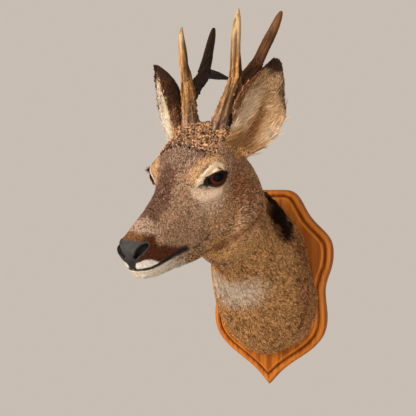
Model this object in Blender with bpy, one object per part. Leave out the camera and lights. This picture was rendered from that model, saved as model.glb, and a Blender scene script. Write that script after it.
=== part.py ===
"""Roe deer shoulder mount: a buck's head, neck and shoulders on a shaped oak wall board.

The flesh is lofted and joined as one form, smoothed, and parted by thin cuts where a person
would name its parts. World frame: +Z up, the board's back on y = 0 and the room at -Y.
"""
import math
from collections import namedtuple

import bmesh
import bpy
from mathutils import Matrix, Vector

MM = 0.001
GAP = 0.3  # air between neighbouring solids; every length below is in millimetres

# ---------------------------------------------------------------- driving dimensions
BOARD_THICKNESS = 21
HEAD_ORIGIN = (-19, -294, 146)  # midway between the eyes, on the line from the eyes to the nose
HEAD_TURN = 14.5  # degrees, the nose towards -X
HEAD_DROP = 36.5  # degrees, the nose below the level
HEAD_ROLL = 3.5  # degrees, the crown towards -X
EYE_PLACE = (-10, 38, 5)  # forward, left, up in the head's own frame
EYE_RADIUS = 13.5

# ---------------------------------------------------------------- fineness of the solids
FLESH_VOXEL = 4.0
FLESH_SMOOTHING = 0.5
FLESH_SMOOTH_PASSES = 6
FLESH_TRIANGLES = 3500
LOFT_SIDES = 32
HEAD_STEPS = 34
NECK_STEPS = 24
ANTLER_SIDES = 8
TINE_STEPS = 8
BALL_SIDES = 18
EAR_STEPS = 10
EAR_SIDES = 8
OUTLINE_STEPS = 3  # between two knots of the board's outline
SHARP_EDGE = 40  # degrees


def head_matrix():
    """From the head's own frame (+X to the nose, +Y to its left, +Z to the crown) to the world."""
    face_room = Matrix.Rotation(math.radians(-90), 4, "Z")
    turn = Matrix.Rotation(math.radians(-HEAD_TURN), 4, "Z")
    drop = Matrix.Rotation(math.radians(HEAD_DROP), 4, "Y")
    roll = Matrix.Rotation(math.radians(-HEAD_ROLL), 4, "X")
    return Matrix.Translation(HEAD_ORIGIN) @ turn @ face_room @ drop @ roll


HEAD = head_matrix()


def in_head(forward, left, up):
    return HEAD @ Vector((forward, left, up))


# ---------------------------------------------------------------- materials
Finish = namedtuple("Finish", "colour roughness")
FINISHES = {
    "board": Finish((0.33, 0.13, 0.045), 0.35),
    "head": Finish((0.20, 0.13, 0.08), 0.9),
    "lower_jaw": Finish((0.42, 0.33, 0.23), 0.9),
    "nose_pad": Finish((0.03, 0.032, 0.036), 0.5),
    "neck": Finish((0.24, 0.15, 0.085), 0.9),
    "shoulders": Finish((0.20, 0.12, 0.065), 0.9),
    "ear": Finish((0.33, 0.25, 0.16), 0.9),
    "eye": Finish((0.02, 0.012, 0.008), 0.05),
    "beam": Finish((0.16, 0.09, 0.045), 0.7),
    "branch": Finish((0.11, 0.065, 0.035), 0.6),
    "tine": Finish((0.38, 0.25, 0.13), 0.5),
}


def material(name, finish):
    made = bpy.data.materials.new(name)
    made.use_nodes = True
    shader = made.node_tree.nodes["Principled BSDF"]
    shader.inputs["Base Color"].default_value = (*finish.colour, 1)
    shader.inputs["Roughness"].default_value = finish.roughness
    shader.inputs["Metallic"].default_value = 0
    made.diffuse_color = (*finish.colour, 1)
    return made


def dress(made):
    """Give a part its own material, chosen by a word of its name, and shade its round faces smooth."""
    word = next(key for key in FINISHES if key in made.name)
    made.data.materials.clear()
    made.data.materials.append(material(made.name, FINISHES[word]))
    made.data.shade_smooth()
    made.data.set_sharp_from_angle(angle=math.radians(SHARP_EDGE))


# ---------------------------------------------------------------- smooth tables
def through(stations, at):
    """Values at one place, on smooth curves through the stations, whose first field is the place."""
    n = len(stations)
    sign = 1 if stations[-1][0] > stations[0][0] else -1
    i = 0
    while i < n - 2 and sign * (at - stations[i + 1][0]) > 0:
        i += 1
    span = stations[i + 1][0] - stations[i][0]
    t = min(1.0, max(0.0, (at - stations[i][0]) / span))

    def slope(k, column):
        low, high = stations[max(0, k - 1)], stations[min(n - 1, k + 1)]
        return (high[column] - low[column]) / (high[0] - low[0]) * span

    values = [at]
    for column in range(1, len(stations[0])):
        start, end = stations[i][column], stations[i + 1][column]
        value = start * (2 * t**3 - 3 * t**2 + 1) + end * (3 * t**2 - 2 * t**3)
        value += slope(i, column) * (t**3 - 2 * t**2 + t) + slope(i + 1, column) * (t**3 - t**2)
        values.append(value)
    return type(stations[0])(*values)


Egg = namedtuple("Egg", "top bottom half_width widest upper lower")


def egg_ring(egg, sides):
    """(sideways, up) points round an egg whose upper and lower halves have their own squareness."""
    points = []
    for k in range(sides):
        c, s = math.cos(2 * math.pi * k / sides), math.sin(2 * math.pi * k / sides)
        power = 2 / (egg.upper if s >= 0 else egg.lower)
        reach = egg.top - egg.widest if s >= 0 else egg.widest - egg.bottom
        sideways = egg.half_width * math.copysign(abs(c) ** power, c)
        points.append((sideways, egg.widest + reach * math.copysign(abs(s) ** power, s)))
    return points


# ---------------------------------------------------------------- mesh makers
def mesh_object(name, bm):
    """An object from one closed body, with its faces turned outward."""
    bmesh.ops.recalc_face_normals(bm, faces=bm.faces)
    if bm.calc_volume(signed=True) < 0:
        bmesh.ops.reverse_faces(bm, faces=bm.faces)
    mesh = bpy.data.meshes.new(name)
    bm.to_mesh(mesh)
    bm.free()
    made = bpy.data.objects.new(name, mesh)
    bpy.context.scene.collection.objects.link(made)
    return made


def lofted(name, rings):
    """A closed body over rings of points in millimetres, each end closed by a fan."""
    bm = bmesh.new()
    made = [[bm.verts.new(Vector(p) * MM) for p in ring] for ring in rings]
    sides = len(rings[0])
    for first, second in zip(made, made[1:]):
        for k in range(sides):
            bm.faces.new((first[k], first[(k + 1) % sides], second[(k + 1) % sides], second[k]))
    for end in (made[0], made[-1]):
        middle = bm.verts.new(sum((v.co for v in end), Vector()) / sides)
        for k in range(sides):
            bm.faces.new((end[k], end[(k + 1) % sides], middle))
    return mesh_object(name, bm)


def ball(name, centre, radii):
    """An ellipsoid with its centre and axes in the head's frame."""
    bm = bmesh.new()
    bmesh.ops.create_uvsphere(bm, u_segments=BALL_SIDES, v_segments=BALL_SIDES // 2 + 2, radius=1)
    place = HEAD @ Matrix.Translation(centre) @ Matrix.Diagonal((*radii, 1))
    for v in bm.verts:
        v.co = (place @ v.co) * MM
    return mesh_object(name, bm)


def apply_modifiers(made):
    graph = bpy.context.evaluated_depsgraph_get()
    mesh = bpy.data.meshes.new_from_object(made.evaluated_get(graph))
    made.modifiers.clear()
    made.data = mesh


def duplicate(made, name):
    copy = made.copy()
    copy.data = made.data.copy()
    copy.name = name
    bpy.context.scene.collection.objects.link(copy)
    return copy


def combine(target, other, operation):
    """Boolean the other solid with the target; the other one stays as it is."""
    cut = target.modifiers.new(operation, "BOOLEAN")
    cut.solver = "EXACT"
    cut.operation = operation
    cut.object = other
    apply_modifiers(target)


def cut_away(target, cutter):
    """Take the cutter's space out of the target, and use the cutter up."""
    combine(target, cutter, "DIFFERENCE")
    bpy.data.objects.remove(cutter)


# ---------------------------------------------------------------- head
HeadStation = namedtuple("HeadStation", "at top bottom half_width widest upper lower")
HEAD_STATIONS = [
    HeadStation(132, -6, -25, 9, -14, 2.2, 2.2),
    HeadStation(127, 4, -36, 16, -12, 2.4, 2.3),
    HeadStation(117, 10, -47, 21, -11, 2.2, 2.3),
    HeadStation(98, 17, -57, 24, -15, 1.8, 2.2),
    HeadStation(70, 22, -72, 26, -20, 1.6, 2.1),
    HeadStation(38, 29, -88, 30, -22, 1.6, 2.0),
    HeadStation(16, 38, -96, 35, -8, 1.8, 2.0),
    HeadStation(-4, 45, -98, 43, 0, 1.9, 1.9),
    HeadStation(-24, 50, -98, 48, 3, 2.0, 1.7),
    HeadStation(-56, 50, -94, 43, -6, 2.0, 1.9),
    HeadStation(-84, 36, -78, 38, -8, 2.0, 2.0),
    HeadStation(-104, 14, -50, 24, -12, 2.0, 2.0),
]


def head_form():
    rings = []
    first, last = HEAD_STATIONS[0].at, HEAD_STATIONS[-1].at
    for i in range(HEAD_STEPS + 1):
        station = through(HEAD_STATIONS, first + (last - first) * i / HEAD_STEPS)
        egg = Egg(*station[1:])
        rings.append([in_head(station.at, left, up) for left, up in egg_ring(egg, LOFT_SIDES)])
    return lofted("head_form", rings)


# ---------------------------------------------------------------- neck
# A neck section lies between a point on the nape and one on the throat, both in the middle plane.
# Its widest place is a share of the section's height above its middle; its turn is in degrees.
NeckStation = namedtuple(
    "NeckStation", "at nape_y nape_z throat_y throat_z x half_width widest upper lower turn"
)
NECK_STATIONS = [
    NeckStation(0, -BOARD_THICKNESS - GAP, 122, -BOARD_THICKNESS - GAP, -96, 1, 71, -0.10, 2.0, 1.85, 0),
    NeckStation(1, -48, 127, -52, -94, 1, 73, -0.10, 2.0, 1.95, 0),
    NeckStation(2, -95, 142, -118, -48, 1, 59, -0.06, 2.0, 2.1, 2),
    NeckStation(3, -150, 168, -170, 5, 3, 48, 0, 2.0, 2.1, 6),
    NeckStation(4, -195, 190, -216, 36, 6, 48, 0, 2.0, 2.1, 10),
    NeckStation(5, -235, 196, -250, 50, -1, 45, 0, 2.0, 2.0, 14),
]


def neck_form():
    rings = []
    for i in range(NECK_STEPS + 1):
        s = through(NECK_STATIONS, i / NECK_STEPS * NECK_STATIONS[-1].at)
        nape, throat = Vector((s.x, s.nape_y, s.nape_z)), Vector((s.x, s.throat_y, s.throat_z))
        middle, half = (nape + throat) / 2, (nape - throat).length / 2
        up = (nape - throat).normalized()
        side = Matrix.Rotation(math.radians(-s.turn), 3, "Z") @ Vector((1, 0, 0))
        egg = Egg(half, -half, s.half_width, s.widest * 2 * half, s.upper, s.lower)
        rings.append([middle + side * left + up * rise for left, rise in egg_ring(egg, LOFT_SIDES)])
    return lofted("neck_form", rings)


# ---------------------------------------------------------------- antlers
Sweep = namedtuple("Sweep", "at forward left up radius")


def swept(name, stations, side, start, end, grow):
    """A tapering round body along a smooth route given in the head's frame; side mirrors it."""
    def place(at):
        s = through(stations, at)
        return in_head(s.forward, side * s.left, s.up)

    rings = []
    aim = 0.01
    across = None
    for i in range(TINE_STEPS + 1):
        at = start + (end - start) * i / TINE_STEPS
        here = min(at, stations[-1].at - aim)
        forwards = (place(here + aim) - place(here)).normalized()
        if across is None:
            across = forwards.orthogonal()
        across = (across - forwards * across.dot(forwards)).normalized()
        other = forwards.cross(across)
        radius = through(stations, at).radius + grow
        rings.append([
            place(at) + across * radius * math.cos(a) + other * radius * math.sin(a)
            for a in (2 * math.pi * k / ANTLER_SIDES for k in range(ANTLER_SIDES))
        ])
    return lofted(name, rings)


ANTLERS = {
    "left": {
        "front": [
            Sweep(0, -60, 20, 22, 13),
            Sweep(8, -66, 21, 29, 14.5),
            Sweep(16, -73, 22, 35, 12),
            Sweep(32, -86, 25, 45, 11),
            Sweep(52, -100, 30, 59, 10.2),
            Sweep(70, -112, 34, 71, 9.6),
            Sweep(87, -120, 36, 86, 7.6),
            Sweep(112, -128, 39, 109, 6.1),
            Sweep(136, -139, 41, 129, 5.1),
            Sweep(152, -149, 42, 142, 3.2),
            Sweep(161, -155, 42, 149, 0.8),
        ],
        "rear": [
            Sweep(0, -112, 34, 66, 8),
            Sweep(24, -141, 38, 67, 8.4),
            Sweep(45, -159, 45, 76, 6.6),
            Sweep(67, -173, 53, 90, 5.8),
            Sweep(89, -189, 61, 104, 4.6),
            Sweep(104, -198, 67, 115, 2.8),
            Sweep(112, -202, 70, 120, 0.8),
        ],
        "back": [
            Sweep(0, -148, 39, 68, 6.4),
            Sweep(24, -169, 42, 56, 5),
            Sweep(48, -189, 46, 42, 3),
            Sweep(60, -198, 48, 34, 0.8),
        ],
    },
    "right": {
        "front": [
            Sweep(0, -60, 20, 22, 13),
            Sweep(8, -66, 21, 29, 14.5),
            Sweep(16, -74, 22, 37, 12),
            Sweep(30, -84, 25, 49, 10.4),
            Sweep(50, -100, 30, 64, 9.4),
            Sweep(70, -112, 34, 80, 7.6),
            Sweep(90, -121, 37, 96, 6.1),
            Sweep(108, -132, 40, 111, 4.9),
            Sweep(125, -141, 42, 125, 3.2),
            Sweep(137, -149, 43, 134, 0.8),
        ],
        "rear": [
            Sweep(0, -100, 30, 62, 7.5),
            Sweep(27, -127, 34, 63, 7.2),
            Sweep(51, -151, 37, 64, 7),
            Sweep(71, -170, 40, 71, 5.4),
            Sweep(90, -186, 42, 80, 4.4),
            Sweep(112, -206, 44, 91, 2.9),
            Sweep(124, -218, 46, 97, 0.8),
        ],
        "back": [
            Sweep(0, -154, 38, 65, 6.2),
            Sweep(22, -173, 40, 54, 4.8),
            Sweep(46, -194, 42, 39, 3),
            Sweep(66, -210, 43, 27, 0.8),
        ],
    },
}


FORKS = {"left": {"front": 78, "rear": 45}, "right": {"front": 66, "rear": 55}}


def lengths(word, route):
    """Where one route is divided: below and above its fork, or the whole of it if it has none."""
    end = ANTLERS[word][route][-1].at
    if route not in FORKS[word]:
        return [(0, end)]
    fork = FORKS[word][route]
    return [(0, fork - GAP / 2), (fork + GAP / 2, end)]


def antler_piece(name, side, word, route, part, grow=0):
    start, end = lengths(word, route)[part]
    return swept(name, ANTLERS[word][route], side, start, end, grow)


def clear_of_route(piece, side, word, route):
    for part in range(len(lengths(word, route))):
        cut_away(piece, antler_piece("clearance", side, word, route, part, GAP))


def antler(side, word):
    """Beam and front tine on one route; the rear branch and its two tines leave it."""
    name = f"antler_{word}_"
    antler_piece(name + "beam", side, word, "front", 0)
    antler_piece(name + "front_tine", side, word, "front", 1)
    branch = antler_piece(name + "rear_branch", side, word, "rear", 0)
    clear_of_route(branch, side, word, "front")
    antler_piece(name + "upper_tine", side, word, "rear", 1)
    back = antler_piece(name + "back_tine", side, word, "back", 0)
    clear_of_route(back, side, word, "rear")


# ---------------------------------------------------------------- ears
EarStation = namedtuple("EarStation", "at forward left up half cup wall")
EAR_STATIONS = [
    EarStation(0, -58, 42, 6, 15, 14, 9),
    EarStation(16, -69, 55, 17, 22, 21, 7),
    EarStation(40, -86, 69, 37, 33.5, 30, 6),
    EarStation(61, -96, 76, 56, 31, 32, 5.5),
    EarStation(87, -112, 85, 74, 20, 28, 5),
    EarStation(101, -121, 89, 85, 13, 20, 4.5),
    EarStation(112, -128, 92, 95, 5, 8, 4),
]
EAR_OPENING = (0.7, 0.66, 0.18)  # where the left ear's cup faces: forward, left, up
EAR_WRAP = 88  # degrees from the middle of the ear's back to its rim
EAR_RIM = 0.45  # thickness at the rim as a share of that in the middle
EAR_RIM_LIFT = 0.5


def ear_rows(station, aim, opening, middle):
    """The points across the ear's outer and inner faces at one place along it."""
    face = (opening - aim * opening.dot(aim)).normalized()
    across = aim.cross(face)
    outer, inner = [], []
    for k in range(EAR_SIDES + 1):
        angle = math.radians(EAR_WRAP) * (-1 + 2 * k / EAR_SIDES)
        c, s = math.cos(angle), math.sin(angle)
        skin = middle + across * station.half * s - face * station.cup * c
        outward = (across * s * station.cup - face * c * station.half).normalized()
        wall = station.wall * (EAR_RIM + (1 - EAR_RIM) * c)
        outer.append(skin)
        inner.append(skin - outward * wall + face * EAR_RIM_LIFT)
    return outer, inner


def shell(name, outer, inner):
    """A closed body between two grids of points in the head's frame, joined along their edges."""
    bm = bmesh.new()
    grids = [[[bm.verts.new(HEAD @ p * MM) for p in row] for row in grid] for grid in (outer, inner)]
    last_row, last = len(outer) - 1, len(outer[0]) - 1
    for grid in grids:
        for near, far in zip(grid, grid[1:]):
            for k in range(last):
                bm.faces.new((near[k], near[k + 1], far[k + 1], far[k]))
    out, into = grids
    for k in (0, last):
        for i in range(last_row):
            bm.faces.new((out[i][k], out[i + 1][k], into[i + 1][k], into[i][k]))
    for i in (0, last_row):
        for k in range(last):
            bm.faces.new((out[i][k], out[i][k + 1], into[i][k + 1], into[i][k]))
    return mesh_object(name, bm)


def ear_form(name, side):
    """A leaf folded along its length: a closed shell between an outer and an inner face."""
    opening = Vector((EAR_OPENING[0], side * EAR_OPENING[1], EAR_OPENING[2]))
    length = EAR_STATIONS[-1].at
    reach = 2

    def middle(at):
        s = through(EAR_STATIONS, min(length, max(0, at)))
        return Vector((s.forward, side * s.left, s.up))

    outer, inner = [], []
    for i in range(EAR_STEPS + 1):
        station = through(EAR_STATIONS, length * i / EAR_STEPS)
        aim = (middle(station.at + reach) - middle(station.at - reach)).normalized()
        outer_row, inner_row = ear_rows(station, aim, opening, middle(station.at))
        outer.append(outer_row)
        inner.append(inner_row)
    return shell(name, outer, inner)


# ---------------------------------------------------------------- board
Knot = namedtuple("Knot", "x z dx dz")
HALF_OUTLINE = [
    Knot(0, 145, 1, 0),
    Knot(27, 145, 1, 0),
    Knot(46, 131, 0.5, -0.87),
    Knot(58, 109, 0.55, -0.83),
    Knot(73, 92, 0.77, -0.64),
    Knot(88, 77, 0.7, -0.72),
    Knot(95, 50, 0, -1),
    Knot(88, 19, -0.4, -0.92),
    Knot(82.5, -5, 0, -1),
    Knot(86, -42, 0, -1),
    Knot(77, -75, -0.6, -0.8),
    Knot(57, -95, -0.8, -0.6),
    Knot(20, -122, -0.75, -0.66),
    Knot(0, -144, -0.65, -0.76),
]
# The moulded edge: how far in from the outline, and how far forward of the wall.
BOARD_PROFILE = ((0, 0), (0, 13), (4, 17.5), (8.5, 17.5), (11.5, BOARD_THICKNESS))


def outline():
    """The board's edge, clockwise from the top middle; its right half mirrored to the left."""
    right = []
    for start, end in zip(HALF_OUTLINE, HALF_OUTLINE[1:]):
        reach = math.hypot(end.x - start.x, end.z - start.z)
        for i in range(OUTLINE_STEPS):
            t = i / OUTLINE_STEPS
            h = (2 * t**3 - 3 * t**2 + 1, t**3 - 2 * t**2 + t, 3 * t**2 - 2 * t**3, t**3 - t**2)
            right.append((
                h[0] * start.x + h[1] * reach * start.dx + h[2] * end.x + h[3] * reach * end.dx,
                h[0] * start.z + h[1] * reach * start.dz + h[2] * end.z + h[3] * reach * end.dz,
            ))
    right.append((HALF_OUTLINE[-1].x, HALF_OUTLINE[-1].z))
    return right + [(-x, z) for x, z in reversed(right[1:-1])]


def inset(points, depth):
    """The outline moved inward by a depth, with its corners kept."""
    moved = []
    n = len(points)
    for i in range(n):
        before, here, after = Vector(points[i - 1]), Vector(points[i]), Vector(points[(i + 1) % n])
        a, b = (here - before).normalized(), (after - here).normalized()
        normal_a, normal_b = Vector((a.y, -a.x)), Vector((b.y, -b.x))
        bisector = (normal_a + normal_b).normalized()
        moved.append(here + bisector * depth / max(0.5, bisector.dot(normal_a)))
    return [(p.x, p.y) for p in moved]


def board():
    edge = outline()
    bm = bmesh.new()
    rows = []
    for depth, forward in BOARD_PROFILE:
        rows.append([bm.verts.new(Vector((x, -forward, z)) * MM) for x, z in inset(edge, depth)])
    n = len(edge)
    for first, second in zip(rows, rows[1:]):
        for k in range(n):
            bm.faces.new((first[k], first[(k + 1) % n], second[(k + 1) % n], second[k]))
    bm.faces.new(rows[0])
    bm.faces.new(rows[-1])
    return mesh_object("board", bm)


# ---------------------------------------------------------------- flesh
FLESH_SWELLINGS = (
    ((-9, 34, 20), (22, 12, 7)),  # brow over the eye
    ((-34, 37, 4), (16, 12, 14)),  # rim behind the eye
    ((-18, 30, -46), (36, 14, 36)),  # cheek
    ((118, 13, -2), (14, 9, 10)),  # wing of the nostril
    ((119, 4, -34), (12, 10, 9)),  # chin
    ((-66, 24, 26), (16, 16, 16)),  # hair round the foot of the antler
)


def joined(name, pieces):
    """One mesh holding all the pieces, which are used up; a voxel remesh then makes them one body."""
    bm = bmesh.new()
    for piece in pieces:
        bm.from_mesh(piece.data)
        bpy.data.objects.remove(piece)
    mesh = bpy.data.meshes.new(name)
    bm.to_mesh(mesh)
    bm.free()
    made = bpy.data.objects.new(name, mesh)
    bpy.context.scene.collection.objects.link(made)
    return made


def drop_pockets(made):
    """Keep the outer skin alone, without the sealed pockets that a remesh leaves between forms."""
    bm = bmesh.new()
    bm.from_mesh(made.data)
    left = set(bm.verts)
    bodies = []
    while left:
        body = {left.pop()}
        edge = list(body)
        while edge:
            near = {e.other_vert(v) for v in edge for e in v.link_edges} - body
            body |= near
            edge = list(near)
        left -= body
        bodies.append(body)
    skin = max(bodies, key=len)
    bmesh.ops.delete(bm, geom=[v for v in bm.verts if v not in skin], context="VERTS")
    bm.to_mesh(made.data)
    bm.free()


def flesh_form():
    """Head, neck and shoulders as one smooth body."""
    pieces = [head_form(), neck_form()]
    for centre, radii in FLESH_SWELLINGS:
        for side in (1, -1):
            pieces.append(ball("swelling", (centre[0], side * centre[1], centre[2]), radii))
    whole = joined("head", pieces)
    remesh = whole.modifiers.new("even", "REMESH")
    remesh.mode = "VOXEL"
    remesh.voxel_size = FLESH_VOXEL * MM
    smooth = whole.modifiers.new("smooth", "SMOOTH")
    smooth.factor = FLESH_SMOOTHING
    smooth.iterations = FLESH_SMOOTH_PASSES
    apply_modifiers(whole)
    drop_pockets(whole)
    thin = whole.modifiers.new("thin", "DECIMATE")
    thin.ratio = FLESH_TRIANGLES / sum(len(p.vertices) - 2 for p in whole.data.polygons)
    apply_modifiers(whole)
    return whole


def swollen(whole):
    """A copy of the flesh that stands a gap's width proud of it, to clear its neighbours with."""
    copy = duplicate(whole, "clearance")
    swell = copy.modifiers.new("swell", "DISPLACE")
    swell.mid_level = 0
    swell.strength = GAP * MM
    apply_modifiers(copy)
    return copy


# ---------------------------------------------------------------- parting the flesh
NECK_CUT = ((0, -200, 125), (-0.15, -0.94, 0.3))  # a point on the plane, and its normal
SHOULDER_CUT = ((0, -95, 40), (0, -0.88, 0.47))
MOUTH_LINE = ((160, -17), (136, -21), (122, -26), (98, -32), (59, -46), (34, -58))  # forward, up
JAW_DEPTH = -140
JAW_HALF_WIDTH = 60
PAD_CENTRE = (132, 0, -5)
PAD_RADII = (13, 16, 15)


def block(name, corners, half_width):
    """A prism across the head: its outline in the head's (forward, up) plane."""
    bm = bmesh.new()
    sides = []
    for left in (-half_width, half_width):
        sides.append([bm.verts.new(in_head(forward, left, up) * MM) for forward, up in corners])
    n = len(corners)
    for k in range(n):
        bm.faces.new((sides[0][k], sides[0][(k + 1) % n], sides[1][(k + 1) % n], sides[1][k]))
    bm.faces.new(sides[0])
    bm.faces.new(sides[1])
    return mesh_object(name, bm)


def half_space(name, point, normal, reach=400):
    """A box whose one face lies on the plane, and the rest on the side that the normal leaves."""
    bm = bmesh.new()
    bmesh.ops.create_cube(bm, size=2 * reach)
    turn = Vector(normal).to_track_quat("Z", "Y").to_matrix().to_4x4()
    place = Matrix.Translation(point) @ turn @ Matrix.Translation((0, 0, -reach))
    for v in bm.verts:
        v.co = (place @ v.co) * MM
    return mesh_object(name, bm)


def neck_region(grow):
    point, normal = NECK_CUT
    return half_space("neck_region", Vector(point) + Vector(normal).normalized() * grow, normal)


def shoulder_region(grow):
    point, normal = SHOULDER_CUT
    return half_space("shoulder_region", Vector(point) + Vector(normal).normalized() * grow, normal)


def jaw_region(grow):
    line = [(forward - grow, up + grow) for forward, up in MOUTH_LINE]
    below = [(line[-1][0], JAW_DEPTH), (line[0][0], JAW_DEPTH)]
    return block("jaw_region", line + below, JAW_HALF_WIDTH)


def pad_region(grow):
    return ball("pad_region", PAD_CENTRE, [r + grow for r in PAD_RADII])


def split(whole, region, name):
    """Take the part inside the region off as its own object, leaving a gap's width round it."""
    part = duplicate(whole, name)
    inside = region(-GAP / 2)
    combine(part, inside, "INTERSECT")
    bpy.data.objects.remove(inside)
    cut_away(whole, region(GAP / 2))
    return part


def main():
    for old in list(bpy.data.objects):
        bpy.data.objects.remove(old)
    board()
    head = flesh_form()
    clearance = swollen(head)
    for side, word in ((1, "left"), (-1, "right")):
        place = (EYE_PLACE[0], side * EYE_PLACE[1], EYE_PLACE[2])
        ball("eye_" + word, place, (EYE_RADIUS,) * 3)
        cut_away(head, ball("socket", place, (EYE_RADIUS + GAP,) * 3))
        combine(ear_form("ear_" + word, side), clearance, "DIFFERENCE")
        antler(side, word)
        cut_away(head, antler_piece("seat", side, word, "front", 0, GAP))
    bpy.data.objects.remove(clearance)
    neck = split(head, neck_region, "neck")
    split(neck, shoulder_region, "shoulders")
    split(head, pad_region, "nose_pad")
    split(head, jaw_region, "lower_jaw")
    for made in bpy.data.objects:
        dress(made)


main()
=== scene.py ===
"""A roe deer shoulder mount: its hide, coat, eyes, antlers and wall shield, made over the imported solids.

One hide replaces the solids of flesh and lies inside them by the coat's depth. Solid tufts of hair
stand on it. Lengths are in metres, apart from the head's own frame, which is in millimetres.
"""

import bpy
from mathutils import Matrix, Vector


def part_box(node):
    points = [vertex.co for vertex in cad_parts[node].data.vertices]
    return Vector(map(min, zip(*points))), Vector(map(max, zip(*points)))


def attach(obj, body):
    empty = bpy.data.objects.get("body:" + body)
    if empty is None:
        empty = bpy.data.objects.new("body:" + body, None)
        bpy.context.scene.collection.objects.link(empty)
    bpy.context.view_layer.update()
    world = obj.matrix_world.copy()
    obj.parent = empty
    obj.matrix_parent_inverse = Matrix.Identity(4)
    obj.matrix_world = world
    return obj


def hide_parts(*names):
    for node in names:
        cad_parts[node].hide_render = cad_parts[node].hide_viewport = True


bl_info = {
    "name": "Roe Deer Shoulder Mount",
    "version": (1, 0, 0),
    "blender": (4, 5, 0),
    "location": "View3D > Sidebar > Mount",
    "description": "Builds the hide, coat, eyes, antlers and wall shield of a roe deer shoulder mount",
    "category": "Object",
}

import math

import bmesh
import bpy
import numpy as np
from bpy.props import FloatProperty, FloatVectorProperty, PointerProperty
from mathutils import Matrix, Vector
from mathutils.bvhtree import BVHTree

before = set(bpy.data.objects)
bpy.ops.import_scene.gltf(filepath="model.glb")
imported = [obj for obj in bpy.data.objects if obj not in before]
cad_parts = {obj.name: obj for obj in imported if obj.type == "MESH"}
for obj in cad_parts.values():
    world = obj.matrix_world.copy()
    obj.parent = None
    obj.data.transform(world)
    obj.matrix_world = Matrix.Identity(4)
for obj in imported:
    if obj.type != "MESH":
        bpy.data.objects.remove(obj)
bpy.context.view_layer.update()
BODY = "root"
MM = 0.001

# ------------------------------------------------------------------ the head's own frame
HEAD_ORIGIN = np.array((-0.019, -0.294, 0.146))
HEAD_TURN = 14.5  # degrees, the nose towards -X
HEAD_DROP = 36.5  # degrees, the nose below the level
HEAD_ROLL = 3.5  # degrees, the crown towards -X
HEAD_AXES = np.array(
    Matrix.Rotation(math.radians(-HEAD_TURN - 90), 3, "Z")
    @ Matrix.Rotation(math.radians(HEAD_DROP), 3, "Y")
    @ Matrix.Rotation(math.radians(-HEAD_ROLL), 3, "X")
)  # its columns point to the nose, to the head's left and to the crown


def to_head(points):
    """Points in the head's own frame, in millimetres: forward, left, up."""
    return (points - HEAD_ORIGIN) @ HEAD_AXES / MM


def from_head(points):
    """World places of points given in the head's frame."""
    return np.asarray(points, float) @ HEAD_AXES.T * MM + HEAD_ORIGIN


def turned(vectors):
    """Directions given in the head's frame, as directions in the world."""
    return np.asarray(vectors, float) @ HEAD_AXES.T


def turned_back(vectors):
    """World directions as directions in the head's frame."""
    return vectors @ HEAD_AXES


# ------------------------------------------------------------------ arithmetic on arrays of points
def unit(vectors):
    """Vectors brought to length 1."""
    return vectors / np.maximum(np.linalg.norm(vectors, axis=-1, keepdims=True), 1e-12)


def dot(a, b):
    """Scalar product, row by row."""
    return (a * b).sum(-1)


def rise(x, low, high):
    """0 up to low, 1 from high on, and smooth between them."""
    t = np.clip((x - low) / (high - low), 0, 1)
    return t * t * (3 - 2 * t)


def flat_to(vectors, normals):
    """Each direction laid flat on the surface that has that normal."""
    return unit(vectors - normals * dot(vectors, normals)[:, None])


NOISE_TABLE = np.random.default_rng(11).uniform(-1, 1, 4096)


def noise(points, size, seed=0):
    """Smooth noise from -1 to 1 at each point, with lumps about this size across."""
    q = points / size + seed * 17.31
    cell = np.floor(q).astype(np.int64)
    part = q - cell
    part = part * part * (3 - 2 * part)
    total = np.zeros(len(points))
    for corner in np.ndindex(2, 2, 2):
        at = cell + corner
        key = (at[:, 0] * 73856093 ^ at[:, 1] * 19349663 ^ at[:, 2] * 83492791) & 4095
        share = np.where(np.array(corner) == 1, part, 1 - part).prod(1)
        total += share * NOISE_TABLE[key]
    return total


def noise_ways(points, size, seed):
    """Smooth noise in three directions at each point."""
    return np.stack([noise(points, size, seed + k) for k in range(3)], 1)


def along_line(points, line):
    """For each point, how far along the line its nearest place lies, and that place."""
    line = np.asarray(line, float)
    steps = np.linalg.norm(np.diff(line, axis=0), axis=1)
    starts = np.concatenate(([0], np.cumsum(steps)))
    best = np.full(len(points), np.inf)
    at = np.zeros(len(points))
    place = np.zeros((len(points), line.shape[1]))
    for k, step in enumerate(steps):
        way = (line[k + 1] - line[k]) / step
        t = np.clip((points - line[k]) @ way, 0, step)
        near = line[k] + t[:, None] * way
        gap = ((points - near) ** 2).sum(1)
        closer = gap < best
        best[closer] = gap[closer]
        at[closer] = starts[k] + t[closer]
        place[closer] = near[closer]
    return at, place, np.sqrt(best)


def beside_line(points, normals, line):
    """How far points lie to the side of a line drawn on a surface, whatever their depth under it."""
    away = points - along_line(points, line)[1]
    return np.linalg.norm(away - dot(away, normals)[:, None] * normals, axis=1)


# ------------------------------------------------------------------ meshes from arrays
def mesh_from(name, points, faces):
    """A smooth mesh of triangles or of quads, from arrays of points and of corner numbers."""
    mesh = bpy.data.meshes.new(name)
    sides = faces.shape[1]
    mesh.vertices.add(len(points))
    mesh.vertices.foreach_set("co", np.asarray(points, np.float32).ravel())
    mesh.loops.add(faces.size)
    mesh.loops.foreach_set("vertex_index", faces.astype(np.int32).ravel())
    mesh.polygons.add(len(faces))
    mesh.polygons.foreach_set("loop_start", np.arange(0, faces.size, sides, dtype=np.int32))
    mesh.update(calc_edges=True)
    mesh.polygons.foreach_set("use_smooth", np.ones(len(faces), bool))
    return mesh


def add_object(name, mesh):
    made = bpy.data.objects.new(name, mesh)
    bpy.context.scene.collection.objects.link(made)
    return made


def points_of(mesh):
    flat = np.empty(len(mesh.vertices) * 3, np.float32)
    mesh.vertices.foreach_get("co", flat)
    return flat.reshape(-1, 3).astype(float)


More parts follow.
